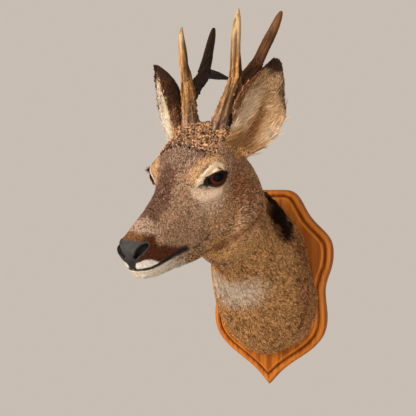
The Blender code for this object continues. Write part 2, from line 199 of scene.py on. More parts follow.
def normals_of(mesh):
    flat = np.empty(len(mesh.vertices) * 3, np.float32)
    mesh.vertex_normals.foreach_get("vector", flat)
    return flat.reshape(-1, 3).astype(float)


def move_points(mesh, points):
    mesh.vertices.foreach_set("co", points.astype(np.float32).ravel())
    mesh.update()


def store_colour(mesh, name, colours):
    """Keep a colour at each point."""
    layer = mesh.color_attributes.new(name, "FLOAT_COLOR", "POINT")
    rgba = np.ones((len(colours), 4), np.float32)
    rgba[:, :3] = colours
    layer.data.foreach_set("color", rgba.ravel())


def store_value(mesh, name, values):
    """Keep a number at each point."""
    layer = mesh.attributes.new(name, "FLOAT", "POINT")
    layer.data.foreach_set("value", values.astype(np.float32))


def stored_value(mesh, name):
    """The number kept at each point, or 0 where the mesh keeps none by that name."""
    values = np.zeros(len(mesh.vertices), np.float32)
    if name in mesh.attributes:
        mesh.attributes[name].data.foreach_get("value", values)
    return values


def grid_faces(rows, columns, closed):
    """The quads of a grid of points, which may close on itself across its columns."""
    r = np.arange(rows - 1)[:, None]
    c = np.arange(columns if closed else columns - 1)[None, :]
    after = (c + 1) % columns
    low, high = r * columns, (r + 1) * columns
    return np.stack([low + c, low + after, high + after, high + c], -1).reshape(-1, 4)


def evaluated(made):
    """Replace an object's mesh by what its modifiers make of it."""
    graph = bpy.context.evaluated_depsgraph_get()
    mesh = bpy.data.meshes.new_from_object(made.evaluated_get(graph))
    made.modifiers.clear()
    old = made.data
    made.data = mesh
    bpy.data.meshes.remove(old)
    return mesh


def largest_body(mesh):
    """Keep only the body with the most points: a remesh can leave sealed pockets inside it."""
    edges = np.empty(len(mesh.edges) * 2, np.int32)
    mesh.edges.foreach_get("vertices", edges)
    a, b = edges.reshape(-1, 2).T
    label = np.arange(len(mesh.vertices))
    while True:
        low = np.minimum(label[a], label[b])
        before = label.copy()
        np.minimum.at(label, a, low)
        np.minimum.at(label, b, low)
        label = label[label]
        if (label == before).all():
            break
    main = np.bincount(label).argmax()
    bm = bmesh.new()
    bm.from_mesh(mesh)
    bm.verts.ensure_lookup_table()
    doomed = [bm.verts[i] for i in np.flatnonzero(label != main)]
    bmesh.ops.delete(bm, geom=doomed, context="VERTS")
    bm.to_mesh(mesh)
    bm.free()


def solid_union(name, nodes, voxel, smoothing):
    """One even skin round several solids, smoothed."""
    bm = bmesh.new()
    for node in nodes:
        bm.from_mesh(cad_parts[node].data)
    bmesh.ops.remove_doubles(bm, verts=bm.verts, dist=1e-6)
    mesh = bpy.data.meshes.new(name)
    bm.to_mesh(mesh)
    bm.free()
    made = add_object(name, mesh)
    even = made.modifiers.new("even", "REMESH")
    even.mode = "VOXEL"
    even.voxel_size = voxel
    evaluated(made)
    largest_body(made.data)
    smooth = made.modifiers.new("smooth", "SMOOTH")
    smooth.factor = 0.5
    smooth.iterations = smoothing
    evaluated(made)
    return made


def refine(mesh, near):
    """Split in two, each way, the faces all of whose corners are in the boolean array near."""
    bm = bmesh.new()
    bm.from_mesh(mesh)
    bm.verts.ensure_lookup_table()
    edges = [e for e in bm.edges if near[e.verts[0].index] and near[e.verts[1].index]]
    bmesh.ops.subdivide_edges(bm, edges=edges, cuts=1, use_grid_fill=True)
    bm.to_mesh(mesh)
    bm.free()


# ------------------------------------------------------------------ shader maths
class Signal:
    """A value in a shader: arithmetic on it adds Math nodes."""

    def __init__(self, shading, socket):
        self.shading = shading
        self.socket = socket

    def math(self, operation, *values):
        sockets = dict(enumerate((self, *values)))
        return self.shading.node("Math", {"operation": operation}, sockets)

    def __add__(self, other):
        return self.math("ADD", other)

    __radd__ = __add__

    def __sub__(self, other):
        return self.math("SUBTRACT", other)

    def __rsub__(self, other):
        return (self * -1) + other

    def __mul__(self, other):
        return self.math("MULTIPLY", other)

    __rmul__ = __mul__

    def __truediv__(self, other):
        return self.math("DIVIDE", other)

    def __pow__(self, other):
        return self.math("POWER", other)


class Nodes:
    """The nodes of a material or of the world."""

    def __init__(self, owner):
        owner.use_nodes = True
        self.tree = owner.node_tree

    def feed(self, socket, value):
        """Give a socket its link or its plain value."""
        if isinstance(value, Signal):
            self.tree.links.new(value.socket, socket)
        else:
            socket.default_value = value

    def node(self, kind, settings=None, sockets=None, output=0):
        """A node of this kind: its settings first, then the values or links of its sockets."""
        made = self.tree.nodes.new("ShaderNode" + kind)
        for name, value in (settings or {}).items():
            if name == "stops":
                ramp = made.color_ramp
                while len(ramp.elements) < len(value):
                    ramp.elements.new(0.5)
                for element, (place, colour) in zip(ramp.elements, value):
                    element.position = place
                    element.color = (*colour, 1)
            else:
                setattr(made, name, value)
        for name, value in (sockets or {}).items():
            self.feed(made.inputs[name], value)
        return Signal(self, made.outputs[output])


class Shading(Nodes):
    """One material and the nodes that feed its Principled shader."""

    def __init__(self, name):
        self.material = bpy.data.materials.new(name)
        super().__init__(self.material)
        self.shader = self.tree.nodes["Principled BSDF"]

    def mix(self, a, b, factor):
        """Two colours mixed; a and b are colours of four numbers or links."""
        return self.node("Mix", {"data_type": "RGBA"}, {0: factor, 6: a, 7: b}, output=2)

    def ramp(self, value, stops):
        return self.node("ValToRGB", {"stops": stops}, {"Fac": value})

    def between(self, value, low, high):
        """0 where the value is low, 1 where it is high, smooth between and held outside."""
        settings = {"interpolation_type": "SMOOTHSTEP"}
        return self.node("MapRange", settings, {"Value": value, "From Min": low, "From Max": high})

    def attribute(self, name, output=0):
        """A colour kept on the mesh, or its number where output is 2."""
        return self.node("Attribute", {"attribute_name": name}, output=output)

    def place(self, scale=(1, 1, 1)):
        """The object's own coordinates, in metres, stretched by a scale."""
        coordinates = self.node("TexCoord", output="Object")
        return self.node("Mapping", {}, {"Vector": coordinates, "Scale": scale})

    def noise(self, vector, scale, detail, distortion=0.0):
        sockets = {"Vector": vector, "Scale": scale, "Detail": detail, "Distortion": distortion}
        return self.node("TexNoise", {}, sockets)

    def bump(self, height, distance, strength):
        sockets = {"Height": height, "Distance": distance, "Strength": strength}
        return self.node("Bump", {}, sockets)

    def finish(self, **sockets):
        """Feed the Principled shader and give its material; an underscore stands for a space."""
        for name, value in sockets.items():
            self.feed(self.shader.inputs[name.replace("_", " ")], value)
        return self.material


# ------------------------------------------------------------------ settings
def span(name, description, default):
    """A length in metres."""
    return FloatProperty(
        name=name, description=description, default=default, min=0, unit="LENGTH", precision=4
    )


def share(name, description, default):
    """A number from 0 to 1."""
    return FloatProperty(
        name=name, description=description, default=default, min=0, max=1, subtype="FACTOR"
    )


def watts(name, description, default):
    """The power of a light."""
    return FloatProperty(name=name, description=description, default=default, min=0, unit="POWER")


def tone(name, description, *default):
    """A linear colour."""
    return FloatVectorProperty(
        name=name, description=description, default=default, size=3, min=0, max=1, subtype="COLOR"
    )


class HideSettings(bpy.types.PropertyGroup):
    """Depths of the hide, and the colours that hide and coat share."""

    voxel: span("Skin grain", "Size of the skin's faces where it is plain", 0.0021)
    nostril_depth: span("Nostril depth", "How deep the nostrils are", 0.008)
    mouth_depth: span("Mouth depth", "How deep the line of the closed lips is", 0.0024)
    lid: span("Eyelid", "Thickness of the eyelids", 0.0014)
    pad: tone("Nose pad", "Bare skin of the nose", 0.095, 0.088, 0.08)
    chestnut: tone("Muzzle", "Hair round the nose pad", 0.112, 0.023, 0.003)
    lip_white: tone("Upper lip", "White patch on the upper lip", 0.83, 0.745, 0.64)
    lip_black: tone("Lips", "Bare edge of the lips", 0.016, 0.011, 0.009)
    chin: tone("Chin", "White hair of the chin", 0.81, 0.68, 0.54)
    throat: tone("Throat", "Hair under the jaw", 0.58, 0.31, 0.125)
    bridge: tone("Bridge", "Dark stripe down the nose", 0.155, 0.066, 0.036)
    bridge_low: tone("Low bridge", "Paler end of the stripe", 0.68, 0.44, 0.29)
    face: tone("Face", "Hair of the side of the face", 0.48, 0.265, 0.145)
    cheek: tone("Cheek", "Hair of the cheek", 0.51, 0.26, 0.112)
    under_eye: tone("Under the eye", "Pale patch under the eye", 0.9, 0.65, 0.455)
    over_eye: tone("Over the eye", "Cream ring over the eye", 0.94, 0.69, 0.44)
    brow: tone("Brow", "Golden inner brow", 0.8, 0.44, 0.19)
    forehead: tone("Forehead", "Ticked hair of the forehead", 0.34, 0.19, 0.115)
    crown: tone("Crown", "Curled hair round the antlers", 0.72, 0.375, 0.185)
    # hair behind the eye; the same dark tone is also laid as painted shade in creases, under the jaw, behind
    # the head, in the ear's hollow and on the neck's side away from the light
    temple_and_shade: tone("Temple", "Hair behind the eye", 0.33, 0.125, 0.042)
    neck: tone("Neck", "Hair of the middle of the neck", 0.71, 0.355, 0.124)
    neck_low: tone("Low neck", "Hair of the bottom of the neck", 0.65, 0.318, 0.112)
    neck_pale: tone("Neck patch", "Pale patch on the front of the neck", 0.99, 0.82, 0.64)
    crescent: tone("Crescent", "Golden hair where the throat meets the neck", 0.62, 0.32, 0.115)
    # the nape's own dark hair, made darker still as painted shade where the head shades the neck
    nape: tone("Nape", "Dark hair along the top of the neck", 0.014, 0.003, 0.001)
    ear_back: tone("Ear back", "Hair of the back of the ears", 0.070, 0.028, 0.012)
    # dark edge and tip of the ears; the same tone is also laid as painted shade in the crease over the lid
    # and along the tuck at the hide's foot
    ear_rim_and_shade: tone("Ear rim", "Dark edge and tip of the ears", 0.06, 0.024, 0.011)
    ear_inside: tone("Ear inside", "Skin and short hair inside the ears", 0.84, 0.54, 0.275)
    ear_base: tone("Ear base", "Hair round the foot of the ears", 0.44, 0.205, 0.07)


class CoatSettings(bpy.types.PropertyGroup):
    """Sizes of the hair."""

    face_length: span("Face hair", "Length of the hair of the face", 0.0036)
    crown_length: span("Crown hair", "Length of the hair between the ears", 0.0050)
    neck_length: span("Neck hair", "Length of the hair of the neck", 0.0062)
    ear_length: span("Ear hair", "Length of the short hair of the ears", 0.0050)
    fringe_length: span("Ear fringe", "Length of the long hair inside the ears", 0.020)
    width: span("Tuft width", "Width of a tuft of middling length at its foot", 0.00072)
    amount: share("Amount", "Share of the tufts to make", 1.0)
    root_shade: share("Root shade", "How dark a tuft is at its foot", 0.62)
    ticking: share("Ticking", "How much tufts differ in colour", 0.66)


class EyeSettings(bpy.types.PropertyGroup):
    """Sizes and colour of the glass eyes."""

    radius: span("Radius", "Radius of the eyeball", 0.0132)
    bulge: span("Cornea", "How far the cornea stands proud", 0.0010)
    iris_width: span("Iris", "Radius of the iris", 0.0098)
    pupil_width: span("Pupil length", "Half the pupil's length", 0.0074)
    pupil_height: span("Pupil height", "Half the pupil's height", 0.0053)
    iris: tone("Iris", "Colour of the iris", 0.076, 0.014, 0.003)


class AntlerSettings(bpy.types.PropertyGroup):
    """Relief and colours of the antlers."""

    voxel: span("Bone grain", "Size of the faces of the antlers", 0.0009)
    pearl: span("Pearls", "Height of the biggest pearls", 0.0017)
    groove: span("Grooves", "Depth of the grooves", 0.0011)
    base: tone("Foot", "Colour of the rough foot", 0.34, 0.195, 0.125)
    middle: tone("Beam", "Colour of the beams", 0.46, 0.215, 0.062)
    tip: tone("Tips", "Colour of the worn tips", 0.5, 0.33, 0.16)
    # also laid as painted shade on the side of each antler that faces away from the light
    stain: tone("Stain", "Colour deep in the grooves", 0.03, 0.012, 0.007)


class ShieldSettings(bpy.types.PropertyGroup):
    """Colours of the wall shield."""

    wood: tone("Wood", "Colour of the wood between its grain lines", 0.5, 0.148, 0.015)
    grain: tone("Grain", "Colour of the grain lines", 0.29, 0.072, 0.008)
    groove: tone("Groove", "Colour of the stain in the groove", 0.055, 0.012, 0.003)


class StageSettings(bpy.types.PropertyGroup):
    """Camera, surroundings and lights."""

    lens: FloatProperty(
        name="Lens", description="Focal length of the camera in millimetres", default=73.56, unit="CAMERA"
    )
    wall: tone("Backdrop", "Colour of the pale surroundings", 0.579, 0.511, 0.448)
    floor: tone("Floor", "Colour of the floor", 0.60, 0.56, 0.50)
    ambient: share("Ambient", "How strongly the backdrop lights the object", 0.62)
    key_power: watts("Key light", "Power of the large soft light", 25.0)
    fill_power: watts("Fill light", "Power of the light beside the camera", 11.0)
    low_power: watts("Low light", "Power of the low warm light", 5.0)


SETTINGS = {
    "hide": HideSettings,
    "coat": CoatSettings,
    "eyes": EyeSettings,
    "antlers": AntlerSettings,
    "shield": ShieldSettings,
    "stage": StageSettings,
}


def settings(word):
    """The scene's settings for one group of pieces."""
    return getattr(bpy.context.scene, "mount_" + word)


def colour(value):
    """A colour property as an array."""
    return np.array(value[:])


# ------------------------------------------------------------------ where things are on the animal
NECK_PLANE = (np.array((0, -0.200, 0.125)), unit(np.array((-0.15, -0.94, 0.3))))
NECK_FOOT = np.array((0, -0.010, 0.0))  # the neck's axis, from the shield to the head
NECK_HEAD = np.array((0, -0.205, 0.112))
EAR_LINE = ((-58, 42, 6), (-86, 69, 37), (-96, 76, 56), (-112, 85, 74), (-128, 92, 95))
EAR_OPENING = (0.7, 0.66, 0.18)
EAR_ACROSS = (-0.466, 0.656, -0.594)  # from the edge by the antler to the outer edge
NOSTRIL_LINE = ((117, 19.5, 3), (125, 16.5, 3), (130, 11.5, -1), (131, 8, -5))
NOSTRIL_REACH = ((0, 2.2), (6, 3.6), (13, 3.8), (20, 2.2))  # along the line: half the opening's width
NOSTRIL_WAY = (-0.78, -0.2, -0.55)
MOUTH_LINE = ((136, -21), (122, -26), (98, -32), (59, -46))  # forward, up
LIP_WIDTH = ((59, 3.9), (66, 4.0), (80, 3.3), (95, 2.8), (115, 2.0), (136, 1.5))  # forward, half width


def mirrored(head):
    """Head-frame points with the right side folded over to the left."""
    folded = head.copy()
    folded[:, 1] = np.abs(folded[:, 1])
    return folded


def blob(points, centre, radii, soft=0.5):
    """1 in the middle of an ellipsoid, 0 well outside it."""
    reach = np.linalg.norm((points - centre) / radii, axis=1)
    return 1 - rise(reach, 1 - soft, 1 + soft)


def table(x, pairs):
    """The value at x of a line of straight pieces through pairs of numbers."""
    knots = sorted(pairs)
    return np.interp(x, [k[0] for k in knots], [k[1] for k in knots])


def gap_to(points, nodes, reach):
    """Distance in metres from each point to the nearest of these solids, no more than reach."""
    bm = bmesh.new()
    for node in nodes:
        bm.from_mesh(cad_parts[node].data)
    tree = BVHTree.FromBMesh(bm)
    bm.free()
    low = np.min([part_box(node)[0][:] for node in nodes], axis=0) - reach
    high = np.max([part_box(node)[1][:] for node in nodes], axis=0) + reach
    gaps = np.full(len(points), reach)
    for i in np.flatnonzero(((points > low) & (points < high)).all(1)):
        found = tree.find_nearest(Vector(points[i]), reach)[3]
        if found is not None:
            gaps[i] = found
    return gaps


EAR_LENGTH = 115.0
EAR_HALF_WIDTH = 30.0
EAR_EDGE = (2.5, 6)  # millimetres from the ear's solid over which the ear passes into the head
EAR_START = (50, 62)  # millimetres behind the head's origin where an ear may begin
NECK_BLEND = (-16, 16)  # millimetres across the plane over which the neck passes into the head
NOT_FAR = 0.008  # metres


class Skin:
    """The hide's points and triangles, and which part of the animal each point belongs to.

    fold, eye_fold and fold_normals have the right side folded over to the left; flip unfolds them.
    """

    def __init__(self, mesh):
        mesh.calc_loop_triangles()
        corners = np.empty(len(mesh.loop_triangles) * 3, np.int32)
        mesh.loop_triangles.foreach_get("vertices", corners)
        self.triangles = corners.reshape(-1, 3)
        self.points = points_of(mesh)
        self.in_mm = self.points / MM
        self.normals = normals_of(mesh)
        a, b, c = (self.points[self.triangles[:, k]] for k in range(3))
        self.areas = np.linalg.norm(np.cross(b - a, c - a), axis=1) / 2
        self.head = to_head(self.points)
        self.fold = mirrored(self.head)
        self.side = np.where(self.head[:, 1] < 0, -1.0, 1.0)
        self.flip = np.stack([np.ones_like(self.side), self.side, np.ones_like(self.side)], 1)
        headward = (self.points - NECK_PLANE[0]) @ NECK_PLANE[1] / MM
        self.ear = 1 - rise(gap_to(self.points, ("ear_left", "ear_right"), NOT_FAR) / MM, *EAR_EDGE)
        self.ear *= rise(-self.fold[:, 0], *EAR_START)
        self.on_head = rise(headward + 5 * noise(self.points, 0.012, 5), *NECK_BLEND)
        along, ear_place, _ = along_line(self.fold, EAR_LINE)
        self.up_ear = along / EAR_LENGTH
        self.across_ear = (self.fold - ear_place) @ EAR_ACROSS / EAR_HALF_WIDTH
        opening = turned(np.array(EAR_OPENING) * self.flip)
        self.toward = dot(self.normals, opening)
        self.inside = self.ear * rise(self.toward, 0.05, 0.4) * rise(self.up_ear, 0.02, 0.12)
        self.facing = turned_back(self.normals)
        self.fold_normals = self.facing * self.flip
        self.eye_fold = self.fold - np.outer(self.side < 0, (0, RIGHT_EYE_OUT, 0))
        self.pit = stored_value(mesh, "pit")
        axis = NECK_HEAD - NECK_FOOT
        self.up_neck = (self.points - NECK_FOOT) @ axis / (axis @ axis)
        middle = NECK_FOOT + np.clip(self.up_neck, 0, 1)[:, None] * axis
        self.off_neck = (self.points - middle) / MM

    def at(self, values, triangle, shares):
        """Values kept at the points, read at places inside the triangles."""
        corners = values[self.triangles[triangle]]
        if values.ndim == 1:
            return (corners * shares).sum(1)
        return (corners * shares[:, :, None]).sum(1)


# ------------------------------------------------------------------ the eyes' place
EYE_CENTRE = np.array((-10.0, 38.0, 5.0))
EYE_GAZE = np.array((0.5, 0.82, 0.27))
EYE_FRONT = np.array((0.813, -0.553, 0.18))  # towards the tear corner
EYE_UP = np.array((-0.297, -0.13, 0.943))
SOLID_EYE = 13.5  # the eye solid's radius
INSIDE_EYE = SOLID_EYE - 5  # where rays that look for the skin start
LONGEST_REACH = 26  # how far from the eye's centre the lids may run along the skin
RIGHT_EYE_OUT = 2.0  # the right eye stands this much further out than the left
LID_SPAN = (-54, 80)  # degrees from the gaze to the rear and front corners
UPPER_LID = (
    # degrees towards the front corner, degrees up from the gaze
    (-54, -2), (-48, 5), (-38, 12.5), (-25, 18.5), (-8, 23), (8, 24), (24, 22), (40, 16.5), (55, 9), (68, 1),
    (80, -6),
)
LOWER_LID = (
    (-54, -2), (-48, -10), (-38, -20), (-25, -29), (-8, -36), (8, -38), (24, -37), (40, -30), (55, -22),
    (68, -15), (80, -9),
)
TEAR_CORNER = (46, 62)  # degrees towards the front over which the lids pass from the ball to the skin
EYE_REACH = 19  # millimetres from the eye's centre to the end of its bare rim
NEAR_BALL = 24  # millimetres from the eye's centre within which the skin is fitted to the ball
FLESHY_LIDS = (18, 42)  # degrees outside the opening over which the raised lids die away


def eye_place(side):
    """One eye's centre in the head's frame."""
    return (EYE_CENTRE + (0, RIGHT_EYE_OUT * (side < 0), 0)) * (1, side, 1)


def eye_angles(fold):
    """Degrees towards the front corner and up from the gaze, and millimetres from the eye's centre."""
    away = fold - EYE_CENTRE
    distance = np.linalg.norm(away, axis=1)
    way = away / np.maximum(distance, 1e-9)[:, None]
    across = np.degrees(np.arctan2(way @ EYE_FRONT, way @ EYE_GAZE))
    height = np.degrees(np.arcsin(np.clip(way @ EYE_UP, -1, 1)))
    return across, height, distance


def outside_lids(across, height):
    """Degrees outside the opening between the lids; below 0 inside it."""
    beyond = np.maximum(np.maximum(across - LID_SPAN[1], LID_SPAN[0] - across), 0)
    margin = np.maximum(height - table(across, UPPER_LID), table(across, LOWER_LID) - height)
    return np.where(beyond > 0, np.hypot(np.maximum(margin, 0), beyond), margin)


# ------------------------------------------------------------------ the hide's form
FLESH = ("head", "neck", "shoulders", "lower_jaw", "nose_pad", "ear_left", "ear_right")
EYEBALLS = ("eye_left", "eye_right")  # the hide is first grown over them, then opened


def refined_hide(mesh):
    """Smaller faces round the eyes, the nose and the mouth."""
    for ring in (30, 12):
        fold = mirrored(to_head(points_of(mesh)))
        across, height, distance = eye_angles(fold)
        near = (outside_lids(across, height) < ring) & (distance < 22)
        refine(mesh, near)
    fold = mirrored(to_head(points_of(mesh)))
    refine(mesh, fold[:, 0] > 92)
    fold = mirrored(to_head(points_of(mesh)))
    nostril = along_line(fold, NOSTRIL_LINE)[2]
    refine(mesh, nostril < 7)


def coat_depth(skin):
    """Millimetres by which the skin lies inside the solids, to leave room for the coat."""
    f = skin.fold[:, 0]
    depth = 3.2 + 0 * f
    depth += (1.5 - depth) * skin.on_head
    depth += (3.0 - depth) * skin.on_head * blob(skin.fold, (-40, 0, 45), (35, 45, 30))
    depth += (0.2 - depth) * rise(f, 70, 112)
    depth += (0.9 - depth) * skin.ear
    return depth


def lip_gap(fold):
    """Millimetres above the line where the lips meet, below 0 under it."""
    return fold[:, 2] - table(fold[:, 0], MOUTH_LINE)


def open_mouth(skin, points, deep):
    """Sink the line where the lips meet, and round the lips on each side of it."""
    gap = lip_gap(skin.fold)
    on_lips = skin.on_head * rise(skin.fold[:, 0], 56, 64) * (skin.facing[:, 2] < 0.6)
    groove = np.exp(-((gap / 1.1) ** 2)) * deep
    rounded = 0.5 * MM * (np.exp(-(((gap - 3.2) / 2) ** 2)) + np.exp(-(((gap + 3.2) / 2) ** 2)))
    points -= skin.normals * (on_lips * (groove - rounded))[:, None]


def open_nostrils(skin, points, deep):
    """Press the nostrils in, and raise the wing over each."""
    at, _, gap = along_line(skin.fold, NOSTRIL_LINE)
    reach = table(at, NOSTRIL_REACH)
    inside = 1 - rise(gap / reach, 0.35, 1.25)
    way = np.array(NOSTRIL_WAY) * skin.flip
    points += turned(way) * (inside * deep * skin.on_head)[:, None]
    wing = np.exp(-(((gap - reach - 2.2) / 1.5) ** 2)) * rise(skin.fold[:, 2], -3, 5)
    points += skin.normals * (0.8 * MM * wing * skin.on_head)[:, None]
    return (1 - rise(gap / reach, 0.95, 1.3)) * skin.on_head


def seat_eyes(skin, points, lid):
    """Sink the skin under each eyeball's opening, and raise the lids round it."""
    fold = mirrored(to_head(points))
    fold[:, 1] -= RIGHT_EYE_OUT * (skin.side < 0)
    across, height, distance = eye_angles(fold)
    out = outside_lids(across, height)
    front = rise(fold @ EYE_GAZE - EYE_CENTRE @ EYE_GAZE, -2, 2) * (distance < NEAR_BALL)
    leaving = rise(across, *TEAR_CORNER)
    sunk = np.minimum(distance, SOLID_EYE - 3.0)
    sunk += (distance - 1.8 - sunk) * leaving
    fleshy = np.maximum(distance, SOLID_EYE + lid / MM * 0.75)
    raised = distance + (fleshy - distance) * (1 - rise(out, *FLESHY_LIDS))
    target = np.where(out < 2.0, sunk, raised)
    moved = EYE_CENTRE + (fold - EYE_CENTRE) * (1 + (target / distance - 1) * front)[:, None]
    moved[:, 1] += RIGHT_EYE_OUT * (skin.side < 0)
    moved[:, 1] *= skin.side
    chosen = front > 0
    points[chosen] = from_head(moved[chosen])


FOLDS = (
    # centre (forward, left, up), radii, height: raised where above 0, sunk where below
    ((6, 33, 26), (13, 7, 5), 1.5),
    ((-14, 42, 24), (12, 7, 5), 1.6),
    ((16, 34, -2), (10, 6, 5), -0.5),
    ((28, 29, 2), (16, 7, 6), -1.0),
    ((3, 41, -13), (18, 6, 4), 0.9),
    ((0, 40, -20), (20, 7, 3), -0.7),
    ((-32, 47, -10), (8, 8, 16), -1.2),
    ((10, 34, -52), (26, 8, 12), 0.8),
    ((62, 25, -33), (16, 6, 10), -0.8),
    ((96, 22, -14), (14, 6, 9), 0.9),
)
LID_CREASE = ((8, 36, 22), (4, 38, 24.5), (-2, 40, 26), (-5, 40.6, 26.2))
CREAM_LID = ((13, 33, 13), (8, 38, 18), (-1, 42, 21), (-13, 44, 19), (-21, 46, 12))
GOLD_BROW = ((17, 24, 20), (12, 26, 24), (4, 30, 28), (-7, 35, 31), (-17, 40, 29), (-27, 45, 20))
PALE_CHEEK = ((20, 31, 4), (16, 35, -6), (7, 39, -10), (-3, 42, -12))


def fold_face(skin, points):
    """The soft forms of the face: brow, hollow before the eye, cheek and the crease over the lid."""
    height = sum(blob(skin.fold, centre, radii, 0.9) * size for centre, radii, size in FOLDS)
    gap = beside_line(skin.fold, skin.fold_normals, LID_CREASE)
    height -= 1.4 * np.exp(-((gap / 1.5) ** 2)) * (1 - rise(along_line(skin.fold, LID_CREASE)[0], 6, 14))
    height += 1.6 * (skin.side < 0) * blob(skin.fold, (4, 31, 25), (15, 9, 9), 0.9)
    height += RIGHT_EYE_OUT * (skin.side < 0) * blob(skin.fold, (-6, 40, 4), (30, 14, 22), 0.6)
    points += skin.normals * (height * MM * skin.on_head * (1 - skin.ear))[:, None]


# lines on the hide and places along Y, in world millimetres
NAPE_HOLLOW = ((20, -150, 124), (48, -156, 112))
JAW_LINE = (
    (-2, -271, 62), (4, -255, 67), (16, -253, 74), (30, -254, 81), (41, -248, 89), (48, -232, 98),
    (52, -217, 113),
)
HOLLOW_DEPTH = 9.0
HOLLOW_WIDTH = 22
JAW_CREASE_DEPTH = 3.0
JAW_CREASE_WIDTH = 2.2
FOOT_GROOVE = -52
BOARD_FRONT = -20.5  # the hide's edge lies just in the wood


def shape_neck(skin, points):
    """Pinch the hide where the neck's top leaves the head, and crease it under the jaw."""
    hollow = np.exp(-((along_line(skin.in_mm, NAPE_HOLLOW)[2] / HOLLOW_WIDTH) ** 2))
    jaw = np.exp(-((beside_line(skin.in_mm, skin.normals, JAW_LINE) / JAW_CREASE_WIDTH) ** 2))
    deep = HOLLOW_DEPTH * hollow * (1 - skin.on_head) + JAW_CREASE_DEPTH * jaw * (skin.normals[:, 0] > -0.2)
    points -= skin.normals * (deep * MM)[:, None]


def spread_foot(skin, points):
    """Spread the hide's edge on the shield, beyond a groove under the neck, most on the lower left."""
    x, y, z = skin.in_mm.T
    outward = unit(skin.off_neck * (1, 0, 1))
    share = (0.15 + rise(x, 15, 50) * rise(-z, -15, 10)) * (1 - skin.on_head)
    groove = np.exp(-(((y - FOOT_GROOVE) / 6) ** 2))
    wide = 7.0 - 3.0 * rise(-z, 25, 80) + 1.2 * noise(skin.points, 0.012, 48)
    spread = wide * rise(y, -46, -26) - 4.5 * groove
    points += outward * (spread * share * MM)[:, None]


def skin_reach(tree, ways, side):
    """Millimetres from one eye's centre out to the skin along each direction."""
    flip = np.array((1, side, 1))
    reach = np.full(len(ways), SOLID_EYE)
    for k, way in enumerate(ways * flip):
        start = Vector(from_head(eye_place(side) + way * INSIDE_EYE))
        gap = tree.ray_cast(start, Vector(turned(way)), 0.03)[3]
        if gap is not None:
            reach[k] = min(INSIDE_EYE + gap / MM, LONGEST_REACH)
    return reach


LID_ROWS = (
    # degrees outside the opening, mm beyond the ball, lid thicknesses beyond that, mm over the skin
    (-4.0, -1.2, 0, -1.2),
    (-1.5, -0.05, 0, -1.2),
    (-0.3, 0, 0.35, 0.5),
    (1.2, 0, 0.8, 0.5),
    (3.5, 0, 1.05, 0.5),
    (6.5, 0, 1.1, 0.5),
    (10, 0, 0.95, -0.2),
    (15, 0, 0, -1.2),
)
UNDER_HAIR = 10  # degrees outside the opening from which the strip follows the skin all round
LID_STEPS = 48  # points along each lid


def lid_strip(side, tree, lid):
    """Points and quads of the rim of both lids round one eye, its outer edge under the skin."""
    sweep = np.linspace(0, 1, LID_STEPS, endpoint=False)
    span_h = (1 - np.cos(sweep * math.pi)) / 2
    across = LID_SPAN[0] + (LID_SPAN[1] - LID_SPAN[0]) * span_h
    upper = np.stack([across, table(across, UPPER_LID)], 1)
    lower = np.stack([across[::-1], table(across[::-1], LOWER_LID)], 1)
    last = np.array([[LID_SPAN[1] + 1, -8.0]])
    ring = np.concatenate([upper, last, lower[:-1]])
    for _ in range(3):
        ring = (np.roll(ring, 1, 0) + 2 * ring + np.roll(ring, -1, 0)) / 4
    ahead = np.roll(ring, -1, 0) - np.roll(ring, 1, 0)
    outward = unit(np.stack([-ahead[:, 1], ahead[:, 0]], 1))
    grid = []
    for offset, beyond, times, over_skin in LID_ROWS:
        radius = SOLID_EYE + beyond + times * (lid / MM)
        h, v = np.radians((ring + outward * offset).T)
        way = (
            np.cos(v)[:, None] * (np.cos(h)[:, None] * EYE_GAZE + np.sin(h)[:, None] * EYE_FRONT)
            + np.sin(v)[:, None] * EYE_UP
        )
        reach = skin_reach(tree, way, side)
        follow = np.ones(len(ring)) if offset >= UNDER_HAIR else rise(np.degrees(h), *TEAR_CORNER)
        distance = radius + (reach + over_skin - radius) * follow
        grid.append(from_head(eye_place(side) + way * (1, side, 1) * distance[:, None]))
    faces = grid_faces(len(LID_ROWS), len(ring), True)
    return np.concatenate(grid), faces if side < 0 else faces[:, ::-1]


def grown_hide(look):
    """The hide's mesh, shaped, with the rims of its lids joined to it."""
    made = solid_union("hide", FLESH + EYEBALLS, look.voxel, 6)
    mesh = made.data
    refined_hide(mesh)
    skin = Skin(mesh)
    points = skin.points - skin.normals * (coat_depth(skin) * MM)[:, None]
    fold_face(skin, points)
    spread_foot(skin, points)
    shape_neck(skin, points)
    open_mouth(skin, points, look.mouth_depth)
    store_value(mesh, "pit", open_nostrils(skin, points, look.nostril_depth))
    seat_eyes(skin, points, look.lid)
    points[:, 1] = np.minimum(points[:, 1], BOARD_FRONT * MM)
    move_points(mesh, points)
    bm = bmesh.new()
    bm.from_mesh(mesh)
    tree = BVHTree.FromBMesh(bm)
    for side in (-1, 1):
        strip, faces = lid_strip(side, tree, look.lid)
        corners = [bm.verts.new(p) for p in strip]
        for face in faces:
            bm.faces.new([corners[i] for i in face])
    for face in bm.faces:
        face.smooth = True
    bm.to_mesh(mesh)
    bm.free()
    return made


# ------------------------------------------------------------------ the hide's markings
def within(colours):
    """Colours brought down to at most 1 without a change of hue."""
    return colours / np.maximum(colours.max(-1, keepdims=True), 1)


def layer(colours, tint, mask):
    """Lay a tint over colours where the mask is 1."""
    return colours + (colour(tint) - colours) * np.clip(mask, 0, 1)[:, None]


# in the head's frame
BRIDGE_HALF = ((-5, 4), (20, 9), (45, 11), (75, 10), (98, 12))  # forward, half the stripe's width
CHESTNUT_EDGE = ((-41, 64), (-27, 82), (-9, 101), (2, 102), (13, 110))  # up, how far back dark hair starts
WHITE_TOP = ((111, -27), (115, -21), (120, -15), (127, -11), (133, -13), (137, -15))  # forward, up
PAD_HALF = ((-23, 3), (-18, 4.2), (-14, 6.4), (-10, 9.5), (-6, 13), (0, 18), (4, 19), (7, 16), (10, 10))

